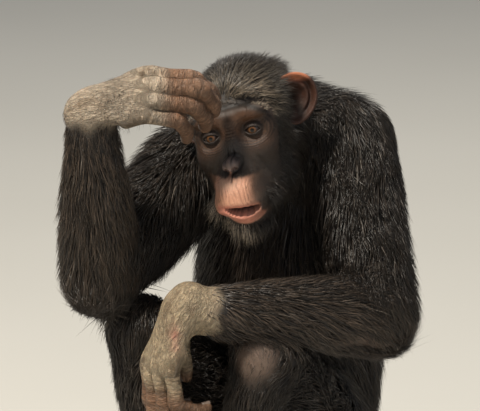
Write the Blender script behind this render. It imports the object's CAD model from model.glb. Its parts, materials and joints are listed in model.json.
import json
import logging
import math
from collections.abc import Callable
from dataclasses import dataclass, field
from enum import Enum

import bpy
import numpy as np
from mathutils import Matrix, Vector

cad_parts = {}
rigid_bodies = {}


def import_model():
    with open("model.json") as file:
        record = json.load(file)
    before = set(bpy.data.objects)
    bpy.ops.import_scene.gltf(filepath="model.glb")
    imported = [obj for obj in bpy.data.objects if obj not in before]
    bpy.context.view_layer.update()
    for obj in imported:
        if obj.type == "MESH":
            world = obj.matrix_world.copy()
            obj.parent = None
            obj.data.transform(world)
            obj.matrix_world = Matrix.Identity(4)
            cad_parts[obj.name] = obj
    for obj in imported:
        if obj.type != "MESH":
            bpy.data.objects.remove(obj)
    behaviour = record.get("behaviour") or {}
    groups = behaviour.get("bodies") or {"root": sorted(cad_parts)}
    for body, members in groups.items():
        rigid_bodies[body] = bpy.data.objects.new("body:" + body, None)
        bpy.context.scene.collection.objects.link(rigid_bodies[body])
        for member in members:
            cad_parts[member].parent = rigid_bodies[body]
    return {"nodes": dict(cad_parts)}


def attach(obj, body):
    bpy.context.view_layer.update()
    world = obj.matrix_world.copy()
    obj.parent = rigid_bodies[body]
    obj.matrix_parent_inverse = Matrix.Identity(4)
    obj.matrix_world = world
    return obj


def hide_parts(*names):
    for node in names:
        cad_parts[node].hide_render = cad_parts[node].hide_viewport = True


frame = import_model()

LOG = logging.getLogger("chimpanzee")
MM = 0.001
SEED = 11
Array = np.ndarray
Triple = tuple[float, float, float]
Rows = tuple[tuple[Triple, float, float, float], ...]
Field = Callable[[Array], Array]
Item = bpy.types.Object
Socket = bpy.types.NodeSocket
Material = bpy.types.Material
CORNERS = np.array([(n & 1, n >> 1 & 1, n >> 2 & 1) for n in range(8)])


class Side(Enum):
    """The animal's own sides."""

    LEFT = "left"
    RIGHT = "right"


def unit(vectors: Array) -> Array:
    """Vectors of length one."""
    vectors = np.asarray(vectors, float)
    return vectors / np.maximum(np.linalg.norm(vectors, axis=-1, keepdims=True), 1e-12)


def ramp(values: Array, low: float, high: float) -> Array:
    """A smooth step: 0 below low, 1 above high, 3t^2 - 2t^3 between."""
    t = np.clip((values - low) / (high - low), 0, 1)
    return t * t * (3 - 2 * t)


def fall(values: Array, low: float, high: float) -> Array:
    """The other way about: 1 below low, 0 above high."""
    return 1 - ramp(values, low, high)


def bell(values: Array, width: float) -> Array:
    """A bell curve: exp(-(values/width)^2)."""
    return np.exp(-((values / width) ** 2))


def mirrored(p: Array) -> Array:
    """Points of the head folded onto its left side."""
    q = p.copy()
    q[..., 0] = np.abs(q[..., 0])
    return q


def eight_corners(base: Array, share: Array, read: Field) -> Array:
    """Values mixed from the eight grid points round each place.

    Args:
        base: each place's lowest grid point.
        share: how far past it the place lies, from 0 to 1 on each axis.
        read: gives the values at grid points.

    Returns:
        The sum of the eight values, each times the product of its shares.
    """
    found = np.zeros(len(base))
    for step in CORNERS:
        found += np.where(step, share, 1 - share).prod(-1) * read(base + step)
    return found


def smooth_union(a: Array, b: Array, blend: Array | float) -> Array:
    """The nearer of two distances, rounded where they lie within blend of each other."""
    h = np.clip(0.5 + 0.5 * (b - a) / blend, 0, 1)
    return b + (a - b) * h - blend * h * (1 - h)


def catmull_rom(values: Array, count: int) -> Array:
    """Values read off a smooth curve through the given ones.

    Args:
        values: rows of numbers that the curve passes through.
        count: how many rows to read off, evenly by span.

    Returns:
        The rows read off the curve.
    """
    values = np.asarray(values, float)
    padded = np.vstack([2 * values[0] - values[1], values, 2 * values[-1] - values[-2]])
    t = np.linspace(0, len(values) - 1, count)
    span = np.minimum(t.astype(int), len(values) - 2)
    u = (t - span)[:, None]
    a, b, c, d = (padded[span + k] for k in range(4))
    square, cube = 2 * a - 5 * b + 4 * c - d, 3 * b - a - 3 * c + d
    return 0.5 * (2 * b + (c - a) * u + square * u**2 + cube * u**3)


def ellipsoid(p: Array, centre: Triple, radii: Triple) -> Array:
    """About the distance from points to an ellipsoid: k(k-1)/|grad k|."""
    radii = np.asarray(radii, float)
    q = (p - np.asarray(centre, float)) / radii
    length = np.linalg.norm(q, axis=-1)
    return length * (length - 1) / np.maximum(np.linalg.norm(q / radii, axis=-1), 1e-9)


def parts_of(p: Array) -> Array:
    """The x, y and z of points."""
    return np.moveaxis(p, -1, 0)


def spot(p: Array, centre: tuple[float, ...], radii: tuple[float, ...]) -> Array:
    """A soft spot: exp(-k^2), where k is the distance from centre in radii."""
    q = (p - np.asarray(centre, float)) / np.asarray(radii, float)
    return np.exp(-(q**2).sum(-1))


def moved(points: Array, matrix: Matrix | Array) -> Array:
    """Points carried by a 4x4 matrix."""
    m = np.array(matrix, float)
    return np.asarray(points) @ m[:3, :3].T + m[:3, 3]


class Noise:
    """Smooth noise between -1 and 1: random values on a lattice, eased between its points."""

    def __init__(self, seed: int, size: int = 24) -> None:
        """Draws the lattice's values."""
        self.size = size
        self.values = np.random.default_rng(seed).uniform(-1, 1, (size, size, size))

    def __call__(self, points: Array, scale: float) -> Array:
        """The noise at points, whose lattice is scale wide."""
        q = np.asarray(points) / scale
        base = np.floor(q).astype(int)
        t = q - base
        t = t * t * (3 - 2 * t)
        return eight_corners(base, t, lambda at: self.values[tuple((at % self.size).T)])


NOISE = Noise(SEED)


@dataclass
class Limb:
    """A length of flesh swept along a smooth path, with an oval section and rounded ends.

    Each station is (place, half width, half depth, depth of the coat). The width lies along
    the across direction, and skin is the share of the coat's depth that the form keeps.
    """

    stations: Rows
    across: Triple
    skin: float = 0.32
    samples: int = 15

    def __post_init__(self) -> None:
        """Reads the path, its sizes and its frames off the stations."""
        places = np.array([s[0] for s in self.stations], float)
        sizes = [(w + self.skin * c, d + self.skin * c, c) for _, w, d, c in self.stations]
        self.path = catmull_rom(places, self.samples)
        self.sizes = np.maximum(catmull_rom(sizes, self.samples), 0.0)
        self.along = unit(np.gradient(self.path, axis=0))
        across = np.broadcast_to(np.asarray(self.across, float), self.path.shape)
        self.wide = unit(across - (across * self.along).sum(1, keepdims=True) * self.along)
        self.deep = np.cross(self.along, self.wide)
        reach = self.sizes[:, :2].max()
        self.low = self.path.min(0) - reach
        self.high = self.path.max(0) + reach

    def place(self, points: Array) -> tuple[Array, Array, Array, Array]:
        """Where points lie along and around the limb.

        Args:
            points: rows of x, y, z.

        Returns:
            The distance to its surface, |q|(k-1)/k with k the length in half widths; the
            share along the path; the angle around it; and the direction of the path.
        """
        best = np.full(len(points), np.inf)
        where = np.zeros(len(points))
        for i in range(len(self.path) - 1):
            a, run = self.path[i], self.path[i + 1] - self.path[i]
            t = np.clip((points - a) @ run / (run @ run), 0, 1)
            gap = ((points - a - t[:, None] * run) ** 2).sum(1)
            near = gap < best
            best = np.where(near, gap, best)
            where = np.where(near, i + t, where)
        i = np.minimum(where.astype(int), len(self.path) - 2)
        u = (where - i)[:, None]
        mix = lambda rows: rows[i] * (1 - u) + rows[i + 1] * u
        q = points - mix(self.path)
        along, sizes = mix(self.along), mix(self.sizes)
        x = (q * mix(self.wide)).sum(1)
        y = (q * mix(self.deep)).sum(1)
        z = (q * along).sum(1)
        z = np.where((where <= 0) | (where >= len(self.path) - 1.001), z, 0)
        end = sizes[:, :2].min(1)
        k = np.sqrt((x / sizes[:, 0]) ** 2 + (y / sizes[:, 1]) ** 2 + (z / end) ** 2)
        k = np.maximum(k, 1e-6)
        gap = np.sqrt(x * x + y * y + z * z) * (k - 1) / k
        return gap, where / (len(self.path) - 1), np.arctan2(y, x), along

    def distance(self, points: Array, far: float = 0.05) -> Array:
        """The distance to the limb's surface, no more than far, over flat or grid points."""
        flat = points.reshape(-1, 3)
        near = ((flat > self.low - far) & (flat < self.high + far)).all(1)
        found = np.full(len(flat), far)
        if near.any():
            found[near] = np.minimum(self.place(flat[near])[0], far)
        return found.reshape(points.shape[:-1])


def between(a: Triple, b: Triple, share: float) -> Array:
    """A point a share of the way from a to b."""
    return np.array(a, float) * (1 - share) + np.array(b, float) * share


def along_line(
    start: Triple, end: Triple, sizes: tuple[Triple, ...], bow: Triple = (0, 0, 0)
) -> Rows:
    """Stations at even shares of a line that bows by a half sine wave."""
    last = len(sizes) - 1
    shares = [number / last for number in range(last + 1)]
    places = [between(start, end, s) + np.array(bow) * math.sin(math.pi * s) for s in shares]
    return tuple((tuple(place), *size) for place, size in zip(places, sizes))


def by_side(left: Triple | float, right: Triple | float) -> dict:
    """A dataclass field that holds a value for each side."""
    return field(default_factory=lambda: {"left": left, "right": right})


@dataclass(frozen=True)
class Bones:
    """The places of the joints of the posed animal, in metres."""

    hip: dict = by_side((0.048, -0.028, 0.088), (-0.046, 0.01, 0.088))
    knee: dict = by_side((-0.011, -0.18, 0.234), (-0.141, -0.135, 0.247))
    ankle: dict = by_side((-0.04, -0.15, 0.05), (-0.116, -0.128, 0.05))
    shoulder: dict = by_side((0.074, -0.024, 0.424), (-0.09, 0.0, 0.388))
    elbow: dict = by_side((0.105, -0.148, 0.264), (-0.186, -0.15, 0.308))
    wrist: dict = by_side((-0.096, -0.206, 0.286), (-0.19, -0.19, 0.491))
    eyes: Triple = (-0.0482, -0.15, 0.4588)
    head_turn: Triple = (-14.0, 1.0, -15.0)
    trunk_turn: float = -20.0

    def head_matrix(self) -> Matrix:
        """Carries the head's own frame, in millimetres between the eyes, to the model's."""
        yaw, pitch, roll = (math.radians(a) for a in self.head_turn)
        turn = Matrix.Rotation(yaw, 4, "Z") @ Matrix.Rotation(pitch, 4, "X")
        turn = turn @ Matrix.Rotation(roll, 4, "Y")
        return Matrix.Translation(self.eyes) @ turn @ Matrix.Scale(MM, 4)

    def trunk_left(self) -> Triple:
        """The direction to the trunk's own left."""
        yaw = math.radians(self.trunk_turn)
        return (math.cos(yaw), math.sin(yaw), 0.0)


BONES = Bones()
HEAD_MATRIX = np.array(BONES.head_matrix())
HEAD_INVERSE = np.linalg.inv(HEAD_MATRIX)
SIDES = tuple(side.value for side in Side)


@dataclass
class Flesh:
    """The trunk, neck and limbs as one smooth body."""

    torso: Rows = (
        ((0.004, 0.016, 0.146), 0.086, 0.08, 0.014),
        ((0.012, 0.026, 0.205), 0.088, 0.084, 0.017),
        ((0.018, 0.028, 0.265), 0.088, 0.083, 0.02),
        ((0.016, 0.024, 0.325), 0.086, 0.076, 0.023),
        ((0.012, 0.022, 0.38), 0.08, 0.064, 0.025),
        ((0.014, 0.02, 0.418), 0.063, 0.05, 0.026),
    )
    pelvis: Rows = (
        ((0.0, 0.004, 0.04), 0.08, 0.066, 0.006),
        ((0.0, 0.006, 0.075), 0.09, 0.077, 0.012),
        ((0.002, 0.01, 0.11), 0.089, 0.08, 0.014),
        ((0.004, 0.016, 0.146), 0.086, 0.08, 0.014),
    )
    neck: Rows = (
        ((0.0, 0.0, 0.4), 0.05, 0.048, 0.014),
        ((-0.012, -0.03, 0.422), 0.046, 0.048, 0.014),
        ((-0.022, -0.062, 0.44), 0.042, 0.046, 0.01),
    )
    upper_arm: tuple[Triple, ...] = (
        (0.039, 0.036, 0.023),
        (0.037, 0.035, 0.022),
        (0.032, 0.033, 0.021),
        (0.029, 0.03, 0.019),
        (0.026, 0.026, 0.014),
    )
    forearm: tuple[Triple, ...] = (
        (0.026, 0.026, 0.014),
        (0.028, 0.028, 0.016),
        (0.027, 0.027, 0.014),
        (0.024, 0.024, 0.009),
        (0.0235, 0.0225, 0.002),
    )
    thigh: tuple[Triple, ...] = (
        (0.052, 0.052, 0.01),
        (0.05, 0.05, 0.012),
        (0.044, 0.045, 0.012),
        (0.036, 0.038, 0.009),
        (0.031, 0.032, 0.006),
    )
    shin: tuple[Triple, ...] = (
        (0.031, 0.032, 0.006),
        (0.029, 0.032, 0.01),
        (0.025, 0.028, 0.01),
        (0.02, 0.022, 0.006),
        (0.019, 0.021, 0.002),
    )

    def __post_init__(self) -> None:
        """Makes the limbs from the sizes and the joints."""
        wide = BONES.trunk_left()
        self.limbs = {
            "torso": Limb(self.torso, wide),
            "pelvis": Limb(self.pelvis, wide, samples=9),
            "neck": Limb(self.neck, wide, samples=8),
        }
        for side in SIDES:
            arm = along_line(BONES.shoulder[side], BONES.elbow[side], self.upper_arm)
            fore = along_line(BONES.elbow[side], BONES.wrist[side], self.forearm)
            thigh = along_line(BONES.hip[side], BONES.knee[side], self.thigh)
            shin = along_line(BONES.knee[side], BONES.ankle[side], self.shin, (0, 0.004, 0))
            flat = (0, 0, 1) if side == "left" else wide
            self.limbs[f"upper_arm_{side}"] = Limb(arm, wide)
            self.limbs[f"forearm_{side}"] = Limb(fore, flat)
            self.limbs[f"thigh_{side}"] = Limb(thigh, wide)
            self.limbs[f"shin_{side}"] = Limb(shin, wide)

    @staticmethod
    def near(points: Array, joint: Triple, reach: float) -> Array:
        """1 at a joint, fading as exp(-(gap/reach)^2)."""
        return np.exp(-((points - np.array(joint)) ** 2).sum(-1) / reach**2)

    def distance(self, points: Array) -> Array:
        """The distance to the body, its limbs joined softly at the joints alone."""
        d = {name: limb.distance(points) for name, limb in self.limbs.items()}
        body = smooth_union(smooth_union(d["torso"], d["pelvis"], 0.03), d["neck"], 0.035)
        for side in SIDES:
            elbow = 0.002 + 0.016 * self.near(points, BONES.elbow[side], 0.045)
            arm = smooth_union(d[f"upper_arm_{side}"], d[f"forearm_{side}"], elbow)
            knee = 0.002 + 0.014 * self.near(points, BONES.knee[side], 0.045)
            leg = smooth_union(d[f"thigh_{side}"], d[f"shin_{side}"], knee)
            shoulder = 0.003 + 0.035 * self.near(points, BONES.shoulder[side], 0.07)
            body = smooth_union(body, arm, shoulder)
            hip = 0.003 + 0.03 * self.near(points, BONES.hip[side], 0.07)
            body = smooth_union(body, leg, hip)
        return body

    def wrist_plane(self, side: str, points: Array) -> Array:
        """Distance past the plane across the forearm where the hand's finer skin takes over."""
        elbow, wrist = np.array(BONES.elbow[side]), np.array(BONES.wrist[side])
        return (points - between(elbow, wrist, 0.68)) @ unit(wrist - elbow)

    def hairless(self, side: str, points: Array) -> Array:
        """1 on the hand and the end of its forearm, where the skin shows."""
        start = 0.042 if side == "right" else 0.031
        ragged = 0.006 * NOISE(points, 0.012)
        found = ramp(self.wrist_plane(side, points) + ragged, start - 0.002, start + 0.024)
        hand = HANDS[side].flesh().distance(points)
        gap = np.minimum(hand, self.limbs[f"forearm_{side}"].distance(points))
        found = found * fall(gap, 0.0018, 0.0045)
        ahead = own_space(HANDS[side], points)[:, 0]
        return np.maximum(found, ramp(ahead, 0.018, 0.03) * fall(hand, 0.0006, 0.002))

    def ankle_plane(self, side: str, points: Array) -> Array:
        """Distance past the plane across the shin where the foot's finer skin takes over."""
        knee, ankle = np.array(BONES.knee[side]), np.array(BONES.ankle[side])
        return (points - between(knee, ankle, 0.8)) @ unit(ankle - knee)


@dataclass
class Digits:
    """Fingers or toes with a palm or sole, in their own frame, carried to the body."""

    matrix: Array
    palm: Rows
    digits: list[Rows]
    web: float = 0.005

    def __post_init__(self) -> None:
        """Makes the palm and the digits in the model's frame."""
        self.turn = self.matrix[:3, :3]
        self.inverse = np.linalg.inv(self.matrix)
        across = tuple(self.turn @ np.array([0.0, 1.0, 0.0]))
        place = lambda rows: tuple((tuple(moved([s[0]], self.matrix)[0]), *s[1:]) for s in rows)
        self.palm_limb = Limb(place(self.palm), across, 0.0, 10)
        self.fingers = [Limb(place(rows), across, 0.0, 16) for rows in self.digits]

    def distance(self, points: Array) -> Array:
        """The distance to the palm and digits: soft webs at the palm, creases between digits."""
        found = self.palm_limb.distance(points, 0.03)
        apart = np.full(found.shape, 0.03)
        for finger in self.fingers:
            apart = smooth_union(apart, finger.distance(points, 0.03), 0.0009)
        return smooth_union(found, apart, self.web)


def finger_path(root: Triple, lengths: Triple, bends: Triple, spread: float) -> list[Array]:
    """Joints of a finger that leaves root and bends down by each angle in turn."""
    places, angle = [np.array(root, float)], 0.0
    for length, bend in zip(lengths, bends):
        angle += math.radians(bend)
        ahead, out = math.cos(angle), math.sin(math.radians(spread))
        way = np.array([ahead, out * ahead, -math.sin(angle)])
        places.append(places[-1] + unit(way) * length)
    return places


def digit_rows(places: list[Array], radius: float, back: Array | None = None) -> Rows:
    """Stations of a digit: thick at its knuckles, waisted between, slim at the tip."""
    root, first, second, tip = places
    behind = (root - first) * 0.35 if back is None else back
    rows = (
        (root + behind, 1.0, 0.9),
        (root, 1.06, 1.02),
        (root * 0.5 + first * 0.5, 0.97, 0.95),
        (first, 1.15, 1.12),
        (first * 0.5 + second * 0.5, 0.95, 0.91),
        (second, 1.0, 0.94),
        (tip - (tip - second) * 0.32, 0.84, 0.74),
    )
    return tuple((tuple(place), radius * wide, radius * deep, 0.0) for place, wide, deep in rows)


@dataclass
class Hand:
    """One hand: a palm, four bent fingers and a thumb. +X to the tips, +Y to the thumb."""

    side: str
    palm: Rows = (
        ((-0.012, 0.0, 0.001), 0.0205, 0.0185, 0.0),
        ((0.006, 0.0, 0.003), 0.0235, 0.0195, 0.0),
        ((0.03, 0.001, 0.002), 0.026, 0.016, 0.0),
        ((0.048, 0.001, 0.0), 0.03, 0.0135, 0.0),
        ((0.061, 0.001, -0.001), 0.03, 0.011, 0.0),
    )
    roots: tuple[Triple, ...] = (
        (0.066, 0.0235, -0.001),
        (0.07, 0.008, 0.001),
        (0.067, -0.008, 0.0),
        (0.06, -0.0225, -0.002),
    )
    lengths: tuple[Triple, ...] = (
        (0.045, 0.029, 0.019),
        (0.049, 0.033, 0.021),
        (0.046, 0.031, 0.02),
        (0.037, 0.024, 0.018),
    )
    radius: tuple[float, ...] = (0.0092, 0.0094, 0.009, 0.008)
    poses: dict = field(
        default_factory=lambda: {
            "right": {
                "x": (0.849, -0.402, 0.343),
                "z": (-0.528, -0.625, 0.575),
                "flex": ((34, 50, 18), (36, 60, 22), (46, 50, 26), (52, 46, 24)),
                "spread": (-7, -1, 5, 8),
                "thumb": ((0.72, 0.2, -0.66), (0.62, -0.25, -0.74), (0.66, -0.45, -0.6)),
            },
            "left": {
                "x": (-0.42, -0.12, -0.9),
                "z": (-0.78, -0.44, 0.44),
                "flex": ((34, 58, 34), (34, 56, 34), (34, 56, 34), (34, 58, 34)),
                "spread": (3, 0, -3, -8),
                "thumb": ((0.66, 0.3, -0.68), (0.8, -0.1, -0.58), (0.86, -0.2, -0.44)),
            },
        }
    )

    def matrix(self) -> Array:
        """Carries the hand's own frame to the model's."""
        pose = self.poses[self.side]
        x = Vector(pose["x"]).normalized()
        z = Vector(pose["z"])
        z = (z - x * z.dot(x)).normalized()
        y = z.cross(x) if self.side == "right" else x.cross(z)
        turn = Matrix((x, y, z)).transposed().to_4x4()
        return np.array(Matrix.Translation(BONES.wrist[self.side]) @ turn)

    def paths(self) -> list[tuple[list[Array], float, Array | None]]:
        """The joints and radius of every digit, the thumb last."""
        pose = self.poses[self.side]
        back = np.array([-0.02, 0.0, -0.001])
        found = [
            (finger_path(root, lengths, bends, spread), radius, back)
            for root, lengths, radius, bends, spread in zip(
                self.roots, self.lengths, self.radius, pose["flex"], pose["spread"]
            )
        ]
        places = [np.array([0.014, 0.018, -0.006])]
        for length, way in zip((0.032, 0.025, 0.019), pose["thumb"]):
            places.append(places[-1] + unit(np.array(way)) * length)
        return found + [(places, 0.0088, None)]

    def flesh(self) -> Digits:
        """The hand's flesh."""
        return Digits(self.matrix(), self.palm, [digit_rows(*path) for path in self.paths()])


@dataclass
class Foot:
    """One foot: a sole, four toes and a big toe that stands apart. +X to the toes."""

    side: str
    sole: Rows = (
        ((-0.04, 0.0, -0.03), 0.017, 0.018, 0.0),
        ((-0.022, 0.0, -0.027), 0.021, 0.024, 0.0),
        ((0.004, 0.0, -0.022), 0.022, 0.028, 0.0),
        ((0.034, 0.001, -0.034), 0.026, 0.019, 0.0),
        ((0.064, 0.0, -0.041), 0.03, 0.012, 0.0),
        ((0.078, -0.002, -0.043), 0.029, 0.01, 0.0),
    )
    roots: tuple[Triple, ...] = (
        (0.076, 0.018, -0.043),
        (0.078, 0.004, -0.043),
        (0.075, -0.01, -0.043),
        (0.069, -0.023, -0.044),
    )
    lengths: tuple[Triple, ...] = (
        (0.024, 0.016, 0.012),
        (0.026, 0.017, 0.012),
        (0.025, 0.016, 0.012),
        (0.022, 0.014, 0.011),
    )
    spread: tuple[float, ...] = (6, 0, -6, -12)
    big_toe: tuple[Triple, ...] = (
        (0.018, 0.01, -0.04),
        (0.04, 0.034, -0.04),
        (0.058, 0.047, -0.04),
        (0.074, 0.053, -0.044),
    )
    yaw: dict = by_side(6.0, -40.0)

    def matrix(self) -> Array:
        """Carries the foot's own frame to the model's."""
        yaw = math.radians(self.yaw[self.side])
        x = Vector((math.sin(yaw), -math.cos(yaw), 0))
        z = Vector((0, 0, 1))
        y = z.cross(x) * (-1 if self.side == "left" else 1)
        turn = Matrix((x, y, z)).transposed().to_4x4()
        return np.array(Matrix.Translation(BONES.ankle[self.side]) @ turn)

    def paths(self) -> list[tuple[list[Array], float, Array | None]]:
        """The joints and radius of every toe, the big toe last."""
        found = [
            (finger_path(root, lengths, (-8, 20, 12), spread), 0.0078, None)
            for root, lengths, spread in zip(self.roots, self.lengths, self.spread)
        ]
        return found + [([np.array(p) for p in self.big_toe], 0.0105, None)]

    def flesh(self) -> Digits:
        """The foot's flesh."""
        return Digits(self.matrix(), self.sole, [digit_rows(*path) for path in self.paths()], 0.004)


@dataclass
class Head:
    """The head as one implicit surface in its own frame, in millimetres."""

    cranium: tuple[Triple, Triple] = ((0, 60, 12), (47.5, 64, 52))
    masses: tuple[tuple[Triple, Triple, float], ...] = (
        ((0, 24, -22), (37, 36, 42), 14),
        ((36, 14, 2), (9, 14, 17), 10),
        ((28, 12, -22), (14, 15, 13), 14),
        ((21, -0.5, 19), (22, 9, 8.5), 7),
        ((0, -2, 14), (12, 8, 9), 7),
        ((0, -2, -61), (27.5, 38, 29), 14),
        ((0, 2, -86), (22, 29, 15), 9),
        ((25, 42, -54), (15, 32, 28), 18),
        ((0, -4, -10), (7, 9, 20), 8),
        ((19, -6, -68), (10, 20, 9), 8),
        ((0, -22, -27.0), (6.4, 9, 7.4), 3),
        ((5.4, -20.5, -28.5), (4.6, 7, 5.4), 2),
    )
    socket: tuple[Triple, Triple, float] = ((24, -8, -1), (14, 11, 11), 6)
    eye: Triple = (22.7, 6.5, 0.0)
    lid: float = 12.0
    opening: Triple = (8.3, 3.5, 3.7)
    nostril: tuple[Triple, Triple] = ((4.4, -26, -32.6), (2.7, 4.5, 2.1))
    lean: float = 3.8
    mouth_height: float = -71.1
    mouth_slope: float = -0.125
    mouth_half: float = 21.6
    gape: float = 8.0
    columns: int = 216
    rows: int = 194

    def bent(self, p: Array) -> Array:
        """Points with the nose and muzzle's slight lean to the animal's right taken out."""
        q = p.copy()
        q[..., 0] += self.lean * ramp(-q[..., 2], 2, 36)
        return q

    def mouth_line(self, x: Array) -> tuple[Array, Array]:
        """Heights of the upper lip's edge, nearly straight, and of the lower's, a parabola."""
        share = np.clip(1 - (x / self.mouth_half) ** 2, 0, 1)
        upper = self.mouth_height + self.mouth_slope * x + 0.6 * share
        open_share = np.clip(1 - ((x - 3.5) / (self.mouth_half - 3.5)) ** 2, 0, 1)
        return upper, upper - 0.7 - self.gape * open_share**0.9

    def lip_lines(self, p: Array) -> Array:
        """1 in the upright wrinkles of the upper lip: narrow lines where a wave passes 0."""
        x, y, z = parts_of(p)
        upper, _ = self.mouth_line(x)
        found = spot(p, (0, -34, -59), (24, 26, 14))
        found = found * ramp(-y, -8, 10) * ramp(z - upper, 1.0, 4.0)
        flat = p.reshape(-1, 3)
        bend = (NOISE(flat, 9.0) * 1.6 + 1.0 * NOISE(flat * [1, 1, 0.3], 4.0)).reshape(found.shape)
        depth = (0.75 + 0.9 * NOISE(flat * [1, 1, 0.25] + 7.0, 5.0)).reshape(found.shape)
        phase = x * 0.85 + bend + 0.03 * z
        return np.clip(found * bell(np.sin(phase), 0.34) * depth, 0, 1)

    def eye_reach(self, q: Array) -> Array:
        """How far places on the left half are from the eye, in mm, on a wide oval."""
        return np.hypot(q[:, 0] - self.eye[0], (q[:, 2] - 0.5) * 1.25)

    def hairline(self, x: Array) -> Array:
        """The height of the brow's hairline: level in the middle, falling to the temples."""
        return 31.5 - 16.5 * np.clip((np.abs(x) - 19) / 27, 0, 1.3) ** 1.5

    def distance(self, p: Array) -> Array:
        """About the distance in mm to the head's skin: masses joined softly, then cut."""
        p = self.bent(p)
        q = mirrored(p)
        found = ellipsoid(p, *self.cranium)
        for centre, radii, blend in self.masses:
            found = smooth_union(found, ellipsoid(q, centre, radii), blend)
        centre, radii, blend = self.socket
        found = -smooth_union(-found, ellipsoid(q, centre, radii), blend)
        found = smooth_union(found, ellipsoid(q, self.eye, (self.lid,) * 3), 2.4)
        x, y, z = parts_of(q - [self.eye[0], 0, 0])
        wide, up, down = self.opening
        arc = np.clip(1 - (x / wide) ** 2, 0, 1)
        slit = np.maximum(z - up * arc, -z - down * arc)
        slit = np.maximum(np.maximum(slit, np.abs(x) - wide), y - self.eye[1])
        found = -smooth_union(-found, slit, 0.5)
        found = -smooth_union(-found, ellipsoid(q, *self.nostril), 1.2)
        x, y, z = parts_of(p)
        upper, lower = self.mouth_line(x)
        middle, half = (upper + lower) / 2, (upper - lower) / 2
        offset = np.abs(z - middle)
        front = np.clip(np.maximum(np.abs(x) - self.mouth_half, y + 2), 0, None)
        roll = np.where(z < middle, 3.6, 0.9)
        found = found - roll * bell(offset - half - 3.9, 3.9) * np.exp(-front / 4)
        groove = np.maximum(offset - half, np.abs(x) - self.mouth_half)
        groove = np.maximum(groove, -found - (1.5 + 14.0 * half / self.gape))
        groove = np.maximum(groove, y + 2)
        return -smooth_union(-found, groove, 1.6)

    def coat_share(self, p: Array) -> Array:
        """0 on the bare face, 1 where the head carries its full coat."""
        x, y, z = parts_of(mirrored(p))
        crown = (z - self.hairline(x)) / 6 + (y + 2) / 60
        cheek = (y - 16) / 12 + (x - 41) / 12
        throat = (y - 14) / 12 + (-98 - z) / 8
        return np.clip(np.maximum(np.maximum(crown, cheek), throat), 0, 1)

    def ring(self) -> Array:
        """Rows of points of the surface, where rays from an upright line inside leave it.

        Returns:
            Points by row and column, in millimetres, found by stepping in and halving.
        """
        columns, rows = ((self.columns, self.rows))
        share = np.linspace(0, 1, rows)
        share = share + 0.1 * np.sin(2 * math.pi * share) / (2 * math.pi)
        height = np.interp(share, [0, 0.12, 0.86, 1], [-72, -68, 22, 26])
        tilts = [-88, -38, -4, 10, 40, 88]
        tilt = np.radians(np.interp(share, [0, 0.12, 0.3, 0.72, 0.86, 1], tilts))
        turn = np.linspace(-math.pi, math.pi, columns, endpoint=False)
        turn = turn - 0.68 * np.sin(turn)
        back = np.interp(share, [0, 0.2, 0.7, 1], [26, 30, 46, 52])
        start = np.stack([0 * share, back, height], -1)[:, None, :]
        level, upright = np.cos(tilt)[:, None], np.sin(tilt)[:, None] + 0 * turn[None, :]
        ray = np.stack([np.sin(turn)[None, :] * level, -np.cos(turn)[None, :] * level, upright], -1)
        reach = np.full(ray.shape[:2], 126.0)
        going = np.ones_like(reach, bool)
        for _ in range(62):
            active = np.nonzero(going)
            at = (start + ray * reach[..., None])[active]
            gap = self.distance(at)
            reach[active] -= np.where(gap > 0, np.clip(gap * 0.6, 0.7, 6.0), 0)
            going[active] = gap > 0
            if not going.any():
                break
        low, high = reach, reach + 1.5
        for _ in range(9):
            middle = (low + high) / 2
            inside = self.distance(start + ray * middle[..., None]) < 0
            low, high = np.where(inside, middle, low), np.where(inside, high, middle)
        return start + ray * low[..., None]


def surface_net(values: Array, low: Array, step: float) -> tuple[Array, Array]:
    """The surface where grid values pass through 0, as one point a cell joined by quads.

    Args:
        values: distances on a grid, below 0 inside.
        low: the place of the grid's first value.
        step: the grid's spacing.

    Returns:
        Points, each the mean of its cell's edge crossings, and quads facing outward.
    """
    inside = values < 0
    shape = np.array(values.shape) - 1
    place = CORNERS[:, ::-1]
    corners = [tuple(slice(a, a + size) for a, size in zip(at, shape)) for at in place]
    count = sum(inside[c].astype(np.int8) for c in corners)
    cells = np.argwhere((count > 0) & (count < 8))
    index = np.full(shape, -1)
    index[tuple(cells.T)] = np.arange(len(cells))
    held = np.stack([values[tuple((cells + at).T)] for at in place], 1)
    total, number = np.zeros((len(cells), 3)), np.zeros(len(cells))
    for a in range(8):
        for b in range(a + 1, 8):
            if np.abs(place[a] - place[b]).sum() != 1:
                continue
            cross = (held[:, a] < 0) != (held[:, b] < 0)
            t = held[:, a] / np.where(cross, held[:, a] - held[:, b], 1)
            total += np.where(cross[:, None], place[a] + t[:, None] * (place[b] - place[a]), 0)
            number += cross
    points = low + (cells + total / number[:, None]) * step
    quads = []
    for axis in range(3):
        u, v = (axis + 1) % 3, (axis + 2) % 3
        here = inside.swapaxes(0, axis)
        edge = np.argwhere((here[1:] != here[:-1]).swapaxes(0, axis))
        across = edge[:, [u, v]]
        edge = edge[((across > 0) & (across < shape[[u, v]])).all(1)]
        du, dv = np.eye(3, dtype=int)[u], np.eye(3, dtype=int)[v]
        turns = ((1, 1), (0, 1), (0, 0), (1, 0))
        quad = np.stack([index[tuple((edge - a * du - b * dv).T)] for a, b in turns], 1)
        solid = inside[tuple(edge.T)]
        quads.append(np.where(solid[:, None], quad, quad[:, ::-1]))
    return points, np.vstack(quads)


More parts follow.
